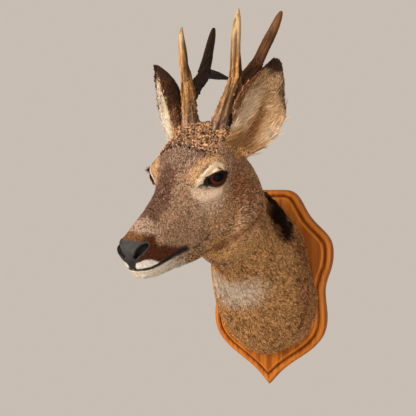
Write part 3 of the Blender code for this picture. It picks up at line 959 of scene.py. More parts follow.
# lines on the neck in world millimetres
NAPE_LINE = (
    (-40, -118, 112), (-24, -118, 121), (0, -118, 126), (26, -118, 120), (48, -118, 106), (52, -112, 95),
)
NAPE_STRETCH = (1, 0.46, 1)  # the dark hair reaches further along the neck than round it
# line of painted shadow inside the hide's foot, where it tucks under against the shield
FOOT_LINE = ((26, -64, -90), (42, -60, -79), (58, -56, -60), (69, -53, -34), (73, -53, -8), (72, -53, 15))
# line of painted shade where the back of the head meets the neck
BEHIND_HEAD = ((52, -226, 136), (53, -214, 112), (52, -188, 98))
BEHIND_NAPE = ((50, -100, 90), (62, -72, 60))
CRESCENT = ((-30, -240, 70), (-12, -254, 70), (6, -254, 68), (27, -242, 62), (40, -230, 68))
# lines of painted shade along the creases of the neck
NECK_CREASES = (
    ((-27, -160, 22), (-24, -158, 6), (-20, -146, -12), (-11, -140, -24)),
    ((-18, -162, 14), (-15, -158, 0), (-9, -150, -10), (2, -146, -15)),
    ((-33, -152, 14), (-31, -148, -2), (-26, -138, -18)),
    ((63, -92, 62), (65, -86, 40), (68, -78, 4), (66, -70, -26)),
    ((58, -98, 40), (61, -92, 12), (60, -84, -18)),
)


def on_nape(skin):
    """1 on the dark ruffled hair where the top of the neck meets the shield."""
    ragged = 6 * noise(skin.points, 0.009, 37) + 4 * noise(skin.points, 0.004, 38)
    gap = along_line(skin.in_mm * NAPE_STRETCH, np.multiply(NAPE_LINE, NAPE_STRETCH))[2]
    return (1 - rise(gap + ragged, 10, 24)) * (1 - skin.on_head)


def at_foot(skin):
    """1 along the lower left edge of the hide on the shield."""
    x, y, z = skin.in_mm.T
    return rise(y, -60, -52) * rise(x, 10, 40) * rise(-z, -20, 5) * (1 - skin.on_head)


def neck_markings(skin, look):
    """The neck's colours: darker above and below, a pale patch in front, painted shade in its creases, along
    its foot and on its side away from the light, and the dark nape.
    """
    x, y, z = skin.in_mm.T
    ragged = 5 * noise(skin.points, 0.014, 31) + 3 * noise(skin.points, 0.005, 32)
    tint = np.tile(colour(look.neck), (len(x), 1))
    tint = layer(tint, look.neck_low, rise(-z + ragged, -35, 70))
    above = skin.off_neck[:, 0] * 0.2 + skin.off_neck[:, 2] + ragged
    tint = layer(tint, look.temple_and_shade, 0.5 * rise(above, 10, 45))
    patch = np.stack([x + ragged * 0.6, y, z + ragged], 1)
    tint = layer(tint, look.neck_pale, 0.85 * blob(patch, (-10, -156, 11), (40, 42, 25), 0.55))
    # painted shade in the creases
    for crease in NECK_CREASES:
        gap = beside_line(skin.in_mm, skin.normals, crease) + 0.12 * ragged
        gap += 20 * (along_line(skin.in_mm, crease)[2] > 12)
        tint = layer(tint, look.temple_and_shade, 0.8 * (1 - rise(gap, 0.5, 1.8)))
    tint = layer(tint, look.temple_and_shade, 0.55 * (1 - rise(along_line(patch, BEHIND_NAPE)[2], 8, 26)))
    # painted shadow along the tuck at the foot
    foot_shadow_gap = beside_line(skin.in_mm, skin.normals, FOOT_LINE) + 0.2 * ragged
    foot_shadow_gap += 20 * (along_line(skin.in_mm, FOOT_LINE)[2] > 14)
    tint = layer(tint, look.ear_rim_and_shade, 0.9 * (1 - rise(foot_shadow_gap, 2, 6)))
    # painted shade on the neck's +X side, away from the light
    tint = layer(tint, look.temple_and_shade, 0.75 * rise(y, -115, -65) * rise(x, 44, 68))
    # the nape's dark hair, partly its own colour and partly painted shade
    return layer(tint, look.nape, on_nape(skin))


def head_markings(skin, look):
    """The head's colours behind the muzzle, from the plain face to the ring round the eye."""
    f, l, u = skin.fold.T
    ragged = 2.2 * noise(skin.points, 0.007, 33) + 1.2 * noise(skin.points, 0.0025, 34)
    top = rise(skin.facing[:, 2], 0.15, 0.75)
    under = rise(-skin.facing[:, 2], 0.1, 0.7)
    shifted = skin.fold + np.stack([ragged, ragged * 0.3, ragged], 1)
    tint = np.tile(colour(look.face), (len(f), 1))
    tint = layer(tint, look.cheek, rise(45 - f + ragged, 0, 40) * rise(-u, -5, 30))
    tint = layer(tint, look.temple_and_shade, blob(shifted, (-48, 48, -32), (24, 18, 30), 0.6))
    tint = layer(tint, look.under_eye, 0.5 * blob(shifted, (8, 38, -17), (24, 14, 15), 0.8))
    tint = layer(tint, look.under_eye, 0.8 * (1 - rise(along_line(shifted, PALE_CHEEK)[2], 3, 13)))
    tint = layer(tint, look.forehead, rise(32 - f + ragged, 0, 14) * rise(u, 24, 34))
    tint = layer(tint, look.throat, under * rise(70 - f + ragged * 2, -25, 40) * rise(-u, 35, 60))
    stripe = 1 - rise(l + ragged, table(f, BRIDGE_HALF), table(f, BRIDGE_HALF) + 5)
    tint = layer(tint, look.bridge, 0.9 * stripe * top * rise(f, 2, 26))
    tint = layer(tint, look.bridge_low, 0.75 * rise(f + ragged, 82, 94) * top)
    gold = 1 - rise(along_line(shifted, GOLD_BROW)[2], 2.5, 8)
    tint = layer(tint, look.brow, 0.85 * gold)
    cream = 1 - rise(along_line(shifted, CREAM_LID)[2], 3.5, 7.5)
    tint = layer(tint, look.over_eye, cream)
    # painted shade in the crease over the lid
    crease = beside_line(skin.fold, skin.fold_normals, LID_CREASE)
    tint = layer(tint, look.ear_rim_and_shade, 0.8 * (1 - rise(crease + 0.15 * ragged, 0.4, 1.1)))
    tint = layer(tint, look.crown, rise(-f + ragged, 14, 26) * rise(u, 20, 32))
    tint = layer(tint, look.ear_base, blob(shifted, (-66, 42, 16), (16, 16, 18), 0.5))
    return muzzle_markings(skin, look, tint, ragged)


def muzzle_markings(skin, look, tint, ragged):
    """Dark hair, white lip and chin, the black edges of the lips, the nose pad and its nostrils."""
    f, l, u = skin.fold.T
    gap = lip_gap(skin.fold)
    edge = table(u, CHESTNUT_EDGE)
    dark = rise(f + ragged * 1.6, edge - 6, edge + 4) * rise(gap, -1, 1)
    tint = layer(tint, look.chestnut, dark)
    tint = layer(tint, look.ear_base, 0.38 * dark * rise(u + 0.8 * ragged, 4, 11) * (1 - rise(l, 12, 18)))
    white = rise(table(f, WHITE_TOP) - u + 0.5 * ragged, -1, 1.2) * rise(f + ragged * 0.5, 106, 111)
    tint = layer(tint, look.lip_white, white * rise(gap, 0, 1.5) * rise(l, 4.0, 6.0))
    tint = layer(tint, look.ear_base, 0.7 * rise(-gap, 1, 7) * rise(f, 20, 50))
    tint = layer(tint, look.chin, rise(-gap, 0, 2) * rise(f + 2 * ragged - 0.8 * gap, 66, 112))
    half = table(f, LIP_WIDTH)
    lips = (1 - rise(np.abs(gap + 0.3), half * 0.7, half * 1.15)) * rise(f + 0.3 * ragged, 57, 62)
    tint = layer(tint, look.lip_black, lips)
    pad = pad_mask(skin)
    tint = layer(tint, look.pad, pad)
    # the nostrils' insides painted near-black as shade
    tint = layer(tint, look.lip_black, skin.pit)
    mottled = 0.22 * noise(skin.points, 0.0035, 49) + 0.16 * noise(skin.points, 0.0014, 50)
    return layer(tint, look.lip_black, pad * (0.15 + mottled + 0.7 * rise(-u + 2 * ragged, -1, 11)))


def pad_mask(skin):
    """1 on the bare skin of the nose."""
    f, l, u = skin.fold.T
    half = table(u, PAD_HALF)
    pad = (1 - rise(l, half - 0.7, half + 0.7)) * rise(f, 117, 119)
    pad = pad * rise(u, -24, -22) * (1 - rise(u, 8, 10))
    at, _, away = along_line(skin.fold, NOSTRIL_LINE)
    wing = 1 - rise(away - table(at, NOSTRIL_REACH), 1.6, 2.8)
    return np.maximum(pad, wing * (f > 108)) * (skin.on_head > 0.5)


TEAR_LINE = ((9, 34.5, 7), (13, 33, 8), (17, 31, 8.5))  # dark line in front of the tear corner


def lid_reach(across, height):
    """Degrees of bare rim outside the opening: less under the eye than over it."""
    upper, lower = table(across, UPPER_LID), table(across, LOWER_LID)
    return 3.5 + 3.5 * rise(height - (upper + lower) / 2, -4, 8) + 3.0 * rise(across, 50, 75)


def lid_mask(skin):
    """1 on the bare black edges of the lids."""
    across, height, distance = eye_angles(skin.eye_fold)
    out = outside_lids(across, height)
    reach = lid_reach(across, height) + 10.0 * rise(-across, 5, 50) * rise(height, -20, 5)
    rim = (1 - rise(out, reach, reach + 4)) * (distance < EYE_REACH)
    tear = beside_line(skin.eye_fold, skin.fold_normals, TEAR_LINE)
    tear += 8 * (along_line(skin.eye_fold, TEAR_LINE)[2] > 6)
    return np.maximum(rim, 0.9 * (1 - rise(tear, 1.0, 2.2)))


RIGHT_EAR_CREAM = (1.0, 0.86, 0.66)  # the outer half of the right ear's inside
# the ear's two edges: up the ear, across it
EAR_FRONT = ((0.1, -0.70), (0.28, -0.76), (0.52, -0.57), (0.72, -0.44), (0.92, -0.30))
EAR_REAR = ((0.2, 1.2), (0.56, 1.0), (0.82, 0.64), (0.99, 0.34))


def ear_markings(skin, look, tint):
    """Dark backs, rims and tips, and the insides with their cream ridges and shaded hollow."""
    ragged = noise(skin.points, 0.006, 35) + 0.5 * noise(skin.points, 0.0025, 36)
    outside = skin.ear * (1 - skin.inside)
    tint = layer(tint, look.ear_back, outside * rise(skin.up_ear + 0.08 * ragged, 0.12, 0.4))
    up, across = skin.up_ear + 0.03 * ragged, skin.across_ear + 0.05 * ragged
    tint = layer(tint, look.temple_and_shade, outside * rise(-across, 0.2, 0.6) * 0.8 * (skin.side > 0))
    tint = layer(tint, look.temple_and_shade, 0.6 * outside * (1 - rise(up, 0.3, 0.6)) * (skin.side < 0))
    tint = layer(tint, look.ear_inside, skin.inside)
    low = 1 - rise(up, 0.62, 0.85)
    cream = (1 - rise(np.abs(across + 0.38 - 0.2 * rise(up, 0.3, 0.8)), 0.20, 0.42)) * low
    cream = np.maximum(cream, rise(across, 0.5, 0.75) * (1 - rise(up, 0.34, 0.48))) * rise(up, 0.12, 0.24)
    tint = layer(tint, look.over_eye, cream * skin.inside)
    outer = rise(across, 0.1, 0.5) * (skin.side < 0) * (1 - rise(up, 0.8, 0.95))
    tint = layer(tint, RIGHT_EAR_CREAM, 0.95 * outer * skin.inside)
    tint = layer(tint, look.temple_and_shade, 0.35 * rise(up, 0.55, 0.7) * skin.inside * (skin.side > 0))
    # painted shade in the hollow of the near ear
    hollow = blob(np.stack([up, across, 0 * up], 1), (0.30, 0.14, 0), (0.27, 0.22, 1), 0.8) * (skin.side > 0)
    tint = layer(tint, look.ear_base, 0.9 * hollow * skin.inside)
    tint = layer(tint, look.temple_and_shade, 0.75 * hollow ** 2 * skin.inside)
    tint = layer(tint, look.ear_base, 0.8 * skin.ear * (1 - rise(up, 0.1, 0.24)))
    ahead = rise(table(up, EAR_FRONT) - across, -0.03, 0.06) * (skin.side > 0)
    tint = layer(tint, look.temple_and_shade, 0.9 * skin.ear * ahead)
    behind = rise(across - table(up, EAR_REAR), -0.16, 0.02) * np.where(skin.side > 0, 0.85, 0.2)
    edge = np.maximum(rise(up, 0.89, 0.99), behind * rise(up, 0.45, 0.7))
    return layer(tint, look.ear_rim_and_shade, edge * skin.ear)


def markings(skin, look):
    """The coat's colour at each point of the skin."""
    tint = neck_markings(skin, look)
    head = head_markings(skin, look)
    tint += (head - tint) * skin.on_head[:, None]
    ragged = np.stack([noise(skin.points, 0.009, 47)] * 3, 1)
    gap = along_line(skin.in_mm + 2 * ragged, CRESCENT)[2]
    tint = layer(tint, look.crescent, 0.9 * (1 - rise(gap, 9, 20)))
    # painted shade where the back of the head meets the neck
    behind = along_line(skin.in_mm, BEHIND_HEAD)[2] + 6 * ragged[:, 0]
    tint = layer(tint, look.temple_and_shade, 0.6 * (1 - rise(behind, 7, 22)))
    # painted shade in the crease under the jaw
    under_jaw = beside_line(skin.in_mm, skin.normals, JAW_LINE)
    under_jaw *= np.where(skin.normals[:, 0] > -0.2, 1, 9)
    tint = layer(tint, look.temple_and_shade, 0.85 * (1 - rise(under_jaw + 0.8 * ragged[:, 0], 1.5, 4.5)))
    tint = ear_markings(skin, look, tint)
    return layer(tint, look.lip_black, lid_mask(skin))


def bare(skin):
    """1 where no hair grows: the nose pad, the lips' and lids' edges."""
    gap = np.abs(lip_gap(skin.fold) + 0.3)
    half = table(skin.fold[:, 0], LIP_WIDTH)
    lips = (1 - rise(gap, half * 0.8, half * 1.05)) * rise(skin.fold[:, 0], 57, 62) * skin.on_head
    across, height, distance = eye_angles(skin.eye_fold)
    lids = (outside_lids(across, height) < lid_reach(across, height)) & (distance < EYE_REACH)
    crease = 1 - rise(beside_line(skin.fold, skin.fold_normals, LID_CREASE), 0.4, 0.8)
    lids = np.maximum(lids, 0.8 * crease)
    return np.maximum(np.maximum(pad_mask(skin), lips), lids)


# ------------------------------------------------------------------ the lie of the coat
def coat_flow(skin):
    """The way the hair points at each point of the skin, laid flat on it."""
    f, _, u = skin.fold.T
    ones = np.ones_like(f)
    down = rise(-u, -25, 40)
    outward = 0.25 * skin.side * rise(f, 40, 110)
    face = np.stack([-ones, outward, -0.05 - 0.45 * down * (1 - rise(f, 60, 100))], 1)
    face[:, 2] += 0.5 * rise(30 - f, 0, 30) * rise(u, 20, 40)
    world = turned(face)
    below = rise(-skin.off_neck[:, 2], -20, 50)
    neck = np.stack([0.10 * ones, 0.72 * ones, -0.62 + 0.25 * below], 1)
    neck[:, 0] += 0.004 * skin.off_neck[:, 0]
    world = world + (neck - world) * (1 - skin.on_head)[:, None]
    ear = turned(np.stack([-0.5 * ones, 0.36 * skin.side, 0.79 * ones], 1))
    world = world + (ear - world) * skin.ear[:, None]
    swirl = noise_ways(skin.points, 0.016, 41) + 0.7 * noise_ways(skin.points, 0.006, 44)
    world += 0.16 * swirl * (1 - 0.5 * rise(f, 20, 90) * skin.on_head)[:, None]
    return flat_to(world, skin.normals)


def on_crown(skin):
    """1 on the curled hair round and between the antlers."""
    f, _, u = skin.fold.T
    ragged = 4 * noise(skin.points, 0.012, 39)
    between = rise(-f + ragged, 10, 18) * rise(u + ragged, 24, 34) * (1 - rise(-f, 84, 100))
    return skin.on_head * between * (1 - skin.ear)


def unwrapped(skin):
    """Where each point of the skin lies on a flat sheet, in two numbers from 0 to 1."""
    f, l, u = skin.head.T
    head = np.stack([(f + 100) / 245, np.arctan2(l, u + 12) / math.tau + 0.5], 1)
    round_neck = np.arctan2(skin.off_neck[:, 0], skin.off_neck[:, 2]) / math.tau + 0.5
    neck = np.stack([skin.up_neck * 0.9 + 0.02, round_neck], 1)
    across = np.arctan2(skin.facing[:, 0], skin.facing[:, 1] * skin.side) / math.tau + 0.5
    ear = np.stack([skin.up_ear * 0.95, across], 1)
    flat = np.where((skin.on_head > 0.5)[:, None], head, neck)
    return np.clip(np.where((skin.ear > 0.5)[:, None], ear, flat), 0, 1)


class Roots:
    """Places on the skin where tufts grow, and the skin's values there."""

    def __init__(self, skin, fields, density, count, rng):
        weight = skin.areas * density[skin.triangles].mean(1)
        total = weight.cumsum()
        at = (np.arange(count) + rng.random(count)) * (total[-1] / count)
        triangle = np.minimum(np.searchsorted(total, at), len(total) - 1)
        a, b = rng.random((2, count))
        a, b = np.where(a + b > 1, 1 - a, a), np.where(a + b > 1, 1 - b, b)
        shares = np.stack([1 - a - b, a, b], 1)
        self.count = count
        self.places = skin.at(skin.points, triangle, shares)
        self.normals = unit(skin.at(skin.normals, triangle, shares))
        for name, values in fields.items():
            setattr(self, name, skin.at(values, triangle, shares))
        self.sheet = fields["sheet"][skin.triangles[triangle, 0]]


BEND_AT = 0.5  # how far along a tuft it bends
CLUMP = 0.0017  # tips lean together in clumps about this size
CLUMP_PULL = 0.0011  # how far a tip leans
SPECK = 0.0012  # size of the pale and dark specks where tips show
PATCH = 0.003  # how wide a tuft's patch is on the flat sheet
ROOT_SINK = 0.0004  # how deep a tuft's foot stands in the skin
LOCK_SINK = 0.0005
PALE_COAT = (0.38, 0.64)  # mean colour over which the coat turns pale and even


def tufted(name, roots, lengths, widths, lifts, tints, rng):
    """A piece of coat: each tuft is a narrow strip of three triangles that bends back to the skin."""
    count = roots.count
    flow = unit(roots.flow)
    flow = flat_to(flow + 0.34 * rng.normal(size=(count, 3)), roots.normals)
    side = np.cross(flow, roots.normals)
    tilt = rng.normal(scale=0.35, size=count)
    side = unit(side * np.cos(tilt)[:, None] + roots.normals * np.sin(tilt)[:, None])
    foot = roots.places - roots.normals * ROOT_SINK
    first = flow * np.cos(lifts)[:, None] + roots.normals * np.sin(lifts)[:, None]
    second = flow * np.cos(lifts * 0.25)[:, None] + roots.normals * np.sin(lifts * 0.25)[:, None]
    middle = foot + first * (lengths * BEND_AT)[:, None]
    tip = middle + unit(second + 0.12 * rng.normal(size=(count, 3))) * (lengths * (1 - BEND_AT))[:, None]
    half = (widths / 2)[:, None] * side
    tip += CLUMP_PULL * noise_ways(tip, CLUMP, 55)
    points = np.stack([foot - half, foot + half, middle - half * 0.75, middle + half * 0.75, tip], 1)
    pattern = np.array([(0, 1, 3), (0, 3, 2), (2, 3, 4)])
    faces = (np.arange(count)[:, None, None] * 5 + pattern).reshape(-1, 3)
    mesh = mesh_from(name, points.reshape(-1, 3), faces)
    speck = noise(tip, SPECK, 58) + 0.3 * noise(tip, 3 * SPECK, 59) + rng.normal(scale=0.25, size=count)
    store_colour(mesh, "coat_colour", tuft_colours(roots, tints, speck).reshape(-1, 3))
    patch_uvs(mesh, roots.sheet)
    return add_object(name, mesh)


def tuft_colours(roots, tints, speck):
    """A foot darkened as painted shade and a bright tip for each tuft, with specks, and cream tips where the
    coat is ticked.
    """
    look = settings("coat")
    even = (1 - 0.66 * rise(tints.mean(1), *PALE_COAT)) * (1 - 0.7 * roots.smooth_share)
    shade = look.root_shade * (0.45 + 0.55 * even)
    bright = np.clip(np.exp(look.ticking * 4.5 * even * speck - 0.1), 0.15, 1.9)[:, None]
    ones = np.ones_like(even)
    steps = np.stack([1 - shade, 1 - shade, 0.8 * ones, 0.8 * ones, 1.15 * ones], 1)
    steps = steps * np.concatenate([bright ** 0.3] * 2 + [bright] * 3, 1)
    colours = within(tints[:, None, :] * steps[:, :, None])
    cream = 0.55 * tints / tints.max(1, keepdims=True) + 0.36
    tipped = rise(speck, 0.1, 0.5) * rise(tints.mean(1), 0.10, 0.22)
    tipped = tipped * (0.18 + 0.52 * roots.head_share) * even
    colours[:, 2:] += (cream - colours[:, 2:].mean(1))[:, None, :] * tipped[:, None, None]
    return np.clip(colours, 0, 1)


def patch_uvs(mesh, sheet):
    """Give each tuft's three triangles a small patch of the flat sheet at its root's place."""
    third = PATCH / 3
    k = np.arange(3) * third
    corners = np.stack([
        np.stack([k, k * 0], 1),
        np.stack([k + third, k * 0], 1),
        np.stack([k + third / 2, k * 0 + PATCH], 1),
    ], 1)
    store_uvs(mesh, sheet, corners)


def store_uvs(mesh, sheet, corners):
    """Lay the same small patch of corners on the flat sheet at each root's place."""
    uv = sheet[:, None, None, :] * (1 - PATCH) + corners[None]
    made = mesh.uv_layers.new(name="OFBake")
    made.data.foreach_set("uv", uv.astype(np.float32).ravel())


def locks(name, roots, lengths, radii, lifts, turns, mesh_size, tints, rng, swing, root_light):
    """Curled tapering locks: each is a thin tube whose heading turns as it grows.

    mesh_size is the number of stations along a tube and of its sides.
    """
    stations, sides = mesh_size
    count = roots.count
    along = np.linspace(0, 1, stations)
    flow = flat_to(unit(roots.flow) + 0.35 * swing * rng.normal(size=(count, 3)), roots.normals)
    start = unit(flow * np.cos(lifts)[:, None] + roots.normals * np.sin(lifts)[:, None])
    wild = rng.normal(size=(count, 3)) * swing + flow * 0.8 - roots.normals * 0.6
    toward = unit(wild - start * dot(wild, start)[:, None])
    third = np.cross(start, toward)
    angle = turns[:, None] * along[None, :]
    heading = start[:, None] * np.cos(angle)[..., None] + toward[:, None] * np.sin(angle)[..., None]
    inward = -start[:, None] * np.sin(angle)[..., None] + toward[:, None] * np.cos(angle)[..., None]
    step = (lengths / (stations - 1))[:, None, None]
    centre = np.cumsum((heading[:, :-1] + heading[:, 1:]) / 2 * step, 1)
    foot = roots.places - roots.normals * LOCK_SINK
    centre = np.concatenate([np.zeros((count, 1, 3)), centre], 1) + foot[:, None]
    thin = radii[:, None] * np.sqrt(np.maximum(1 - along ** 2.2, 0.02))[None]
    around = (np.arange(sides) * math.tau / sides)[:, None]
    ring = inward[:, :, None] * np.cos(around) + third[:, None, None] * np.sin(around)
    points = centre[:, :, None] + ring * thin[:, :, None, None]
    quads = grid_faces(stations, sides, True)
    faces = (np.arange(count)[:, None, None] * stations * sides + quads).reshape(-1, 4)
    mesh = mesh_from(name, points.reshape(-1, 3), faces)
    # each lock darker at its foot, as painted shade, and brighter towards its tip
    bright = (root_light + (1.2 - root_light) * along)[None, :, None, None] * np.ones((count, 1, sides, 1))
    store_colour(mesh, "coat_colour", within(tints[:, None, None] * bright).reshape(-1, 3))
    tube_uvs(mesh, roots.sheet, stations, sides)
    return add_object(name, mesh)


def tube_uvs(mesh, sheet, stations, sides):
    """Give each lock a small patch of the flat sheet, unrolled."""
    r, c = np.meshgrid(np.arange(stations - 1), np.arange(sides), indexing="ij")
    low = np.stack([c.ravel(), r.ravel()], 1)
    corners = low[:, None] + np.array([(0, 0), (1, 0), (1, 1), (0, 1)])
    store_uvs(mesh, sheet, corners * (PATCH / sides, PATCH / (stations - 1)))


def ticked(roots, rng, amount):
    """Each tuft's colour: its place's, with pale and dark tufts among the rest."""
    streak = 1 + 0.20 * noise(roots.places, 0.0045, 51) + 0.13 * noise(roots.places, 0.013, 52)
    amount = amount * (1 + 0.35 * roots.head_share) * (1 - 0.6 * roots.smooth_share)
    amount = amount * (1 - 0.70 * rise(roots.tint.mean(1), *PALE_COAT))
    each = 1 + amount * rng.normal(size=roots.count) * 0.6
    pick = rng.random(roots.count)
    each *= np.where(pick < 0.14, np.maximum(1 - amount, 0.1), 1) * np.where(pick > 0.88, 1 + amount, 1)
    return within(roots.tint * (streak * np.clip(each, 0.3, 1.9))[:, None])


def coat_fields(skin, look):
    """Every value of the skin that the tufts and locks need at their roots."""
    under_chin = along_line(skin.in_mm, CRESCENT)[2]
    beside_jaw = along_line(skin.in_mm, JAW_LINE)[2]
    return {
        "flow": coat_flow(skin),
        "tint": markings(skin, look),
        "sheet": unwrapped(skin),
        "fold_place": skin.fold,
        "forward": skin.fold[:, 0],
        "head_share": skin.on_head,
        "ear_share": skin.ear,
        "crown_share": on_crown(skin),
        "chin_share": skin.on_head * rise(-lip_gap(skin.fold), 2, 10),
        "inside_share": skin.inside,
        "nape_share": on_nape(skin),
        "ear_up": skin.up_ear,
        "foot_share": at_foot(skin),
        "smooth_share": 1 - rise(np.minimum(under_chin, beside_jaw + 6), 11, 18),
    }


FOOT_HAIR = 0.0030
SMOOTH_HAIR = 0.0045
NAPE_HAIR = 0.0115
LONG_HAIR = 0.010  # hair of this length is as wide as the setting says
PLAIN_LIFT = 19  # degrees
EXTRA_LIFT = {
    "head_share": -6,
    "crown_share": 24,
    "nape_share": 24,
    "smooth_share": -9,
    "chin_share": 6,
    "ear_share": -4,
}
LIFT_SPAN = (4, 70)


def coat_sizes(roots, look, rng):
    """Length, width and lift of each tuft from the part of the animal it grows on."""
    long = look.neck_length + 0 * roots.forward
    face = look.face_length * (1 - 0.45 * rise(roots.forward, 20, 100))
    near_eye = np.linalg.norm(roots.fold_place - EYE_CENTRE, axis=1)
    face = face * (0.45 + 0.55 * rise(near_eye, 16, 30))
    long += (face - long) * roots.head_share
    long += (look.crown_length - long) * roots.crown_share
    long += (look.face_length * 1.35 - long) * roots.chin_share * (1 - rise(roots.forward, 60, 120))
    ear = look.ear_length * (1 - 0.5 * rise(roots.ear_up, 0.7, 1.0))
    long += (ear - long) * roots.ear_share
    long += (FOOT_HAIR - long) * roots.foot_share
    long += (SMOOTH_HAIR - long) * roots.smooth_share
    long += (NAPE_HAIR - long) * roots.nape_share
    long *= rng.uniform(0.65, 1.3, roots.count) * (1 + 0.22 * noise(roots.places, 0.009, 61))
    wide = look.width * (0.45 + 0.55 * np.clip(long / LONG_HAIR, 0.2, 1.4))
    wide *= rng.uniform(0.7, 1.3, roots.count)
    return long, wide, hair_lift(roots, rng)


def hair_lift(roots, rng):
    """The angle at which each tuft leaves the skin."""
    degrees = PLAIN_LIFT + 0 * roots.forward
    for name, more in EXTRA_LIFT.items():
        degrees += more * getattr(roots, name)
    lumps = 1 + 0.25 * noise(roots.places, 0.007, 62) + 0.7 * noise(roots.places, 0.0028, 63)
    lift = np.radians(degrees) * lumps + np.radians(rng.normal(scale=4.0, size=roots.count))
    return np.clip(lift, *np.radians(LIFT_SPAN))


def coat_regions(skin):
    """Each piece of the coat: how many tufts it has, and how thickly they grow at each point."""
    head = skin.on_head * (1 - skin.ear) * (1 - bare(skin)) * (1 - 0.5 * on_crown(skin))
    neck = (1 - skin.on_head) * (1 - skin.ear)
    left = skin.side > 0
    sharp = 1 + 0.8 * rise(skin.fold[:, 0], 30, 100)
    east = skin.off_neck[:, 0] > 0
    above = skin.off_neck[:, 2] > 0
    return {
        "coat_face_left": (56000, head * left * sharp),
        "coat_face_right": (42000, head * ~left * sharp),
        "coat_ear_left": (26000, skin.ear * left),
        "coat_ear_right": (26000, skin.ear * ~left),
        "coat_neck_upper_left": (50000, neck * east * above),
        "coat_neck_upper_right": (42000, neck * ~east * above),
        "coat_neck_lower_left": (52000, neck * east * ~above),
        "coat_neck_lower_right": (46000, neck * ~east * ~above),
    }


def place_piece(made, slot, material, *stands_for):
    """Give a piece its material and body, and hide the solids it stands for."""
    made.data.materials.clear()
    made.data.materials.append(material)
    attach(made, BODY)
    if stands_for:
        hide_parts(*stands_for)


# ------------------------------------------------------------------ materials
BLACK = (0, 0, 0, 1)
WET_BLACK = (0.010, 0.009, 0.009, 1)
PUPIL_BLACK = (0.003, 0.003, 0.004, 1)
IRIS_RIM = (0.006, 0.004, 0.003, 1)
BONE_DIRT = (0.05, 0.022, 0.010, 1)
BONE_PALE = (0.60, 0.40, 0.20, 1)
PUPIL_RAISED = 0.0012  # how far the pupil's middle lies above the gaze


def hair_material(name):
    """Hair that takes its colour from each tuft, with a fine streak and a dull sheen."""
    s = Shading(name)
    tint = s.attribute("coat_colour")
    fleck = s.noise(s.place(), 900, 2)
    shade = s.mix(tint, BLACK, s.between(fleck, 0.62, 0.25) * 0.35)
    return s.finish(Base_Color=shade, Roughness=0.55, Specular_IOR_Level=0.06)


def hide_material():
    """Skin under the coat: short hair as bump, and pebbled leather where it is bare."""
    s = Shading("hide")
    tint = s.attribute("coat_colour")
    bare_share = s.attribute("bare", 2)
    place = s.place()
    hair = s.noise(place, 850, 3)
    clump = s.noise(place, 320, 2)
    cells = s.node("TexVoronoi", {"feature": "DISTANCE_TO_EDGE"}, {"Vector": place, "Scale": 1500})
    pebbles = s.between(cells, 0.0, 0.3)
    # painted shade in the gaps between the short hairs
    gaps = s.between(hair, 0.56, 0.40) * 0.75 + s.between(clump, 0.6, 0.4) * 0.25
    furred = s.mix(tint, BLACK, gaps * (1 - s.attribute("pale", 2) * 0.6))
    leather = s.mix(tint, WET_BLACK, (1 - pebbles) * 0.7)
    base = s.mix(furred, leather, bare_share)
    polish = 0.42 + pebbles * -0.08
    rough = s.node("Mix", {"data_type": "FLOAT"}, {0: bare_share, 2: 0.75, 3: polish})
    height = hair * (1 - bare_share) + pebbles * bare_share * 0.8
    normal = s.bump(height, 0.0006, 0.7)
    return s.finish(Base_Color=base, Roughness=rough, Normal=normal, Specular_IOR_Level=0.22)


def eye_material(look):
    """Glass eye: black pupil, fibred iris and dark rim under a clear gloss; its own z is the gaze."""
    s = Shading("glass_eye_balls")
    place = s.node("TexCoord", output="Object")
    x = s.node("SeparateXYZ", {}, {"Vector": place})
    y = Signal(s, x.socket.node.outputs["Y"])
    reach = (x * x + y * y) ** 0.5
    round_place = s.node("VectorMath", {"operation": "NORMALIZE"}, {0: place})
    fibres = s.noise(round_place, 26, 4, 1.2)
    high = (y - PUPIL_RAISED) / look.pupil_height
    pupil = ((x / look.pupil_width) ** 2 + high * high) ** 0.5
    glow = colour(look.iris)
    iris = s.ramp(fibres, ((0.30, glow * 0.40), (0.50, glow), (0.72, glow * 1.9)))
    rim = s.between(reach, look.iris_width * 0.80, look.iris_width * 1.02)
    iris = s.mix(iris, IRIS_RIM, rim)
    dark = s.mix(PUPIL_BLACK, iris, s.between(pupil, 0.85, 1.15))
    return s.finish(
        Base_Color=dark, Roughness=0.25, Specular_IOR_Level=0.0, Coat_Weight=0.05, Coat_Roughness=0.03
    )


def antler_material():
    """Bone with fine streaks along it that fade where it is polished."""
    s = Shading("antler")
    tint = s.attribute("bone_colour")
    polish = s.attribute("polish", 2)
    place = s.place((1, 1, 0.25))
    streaks = s.noise(place, 700, 4, 0.6)
    grain = s.noise(s.place(), 1600, 2)
    shade = s.mix(tint, BONE_DIRT, s.between(streaks, 0.58, 0.36) * (1 - polish * 0.7) * 0.55)
    shade = s.mix(shade, BONE_PALE, s.between(grain, 0.55, 0.75) * 0.15)
    normal = s.bump(streaks * (1 - polish * 0.8) + grain * 0.25, 0.0005, 0.6)
    rough = 0.52 - polish * 0.20
    return s.finish(Base_Color=shade, Roughness=rough, Normal=normal, Specular_IOR_Level=0.15)


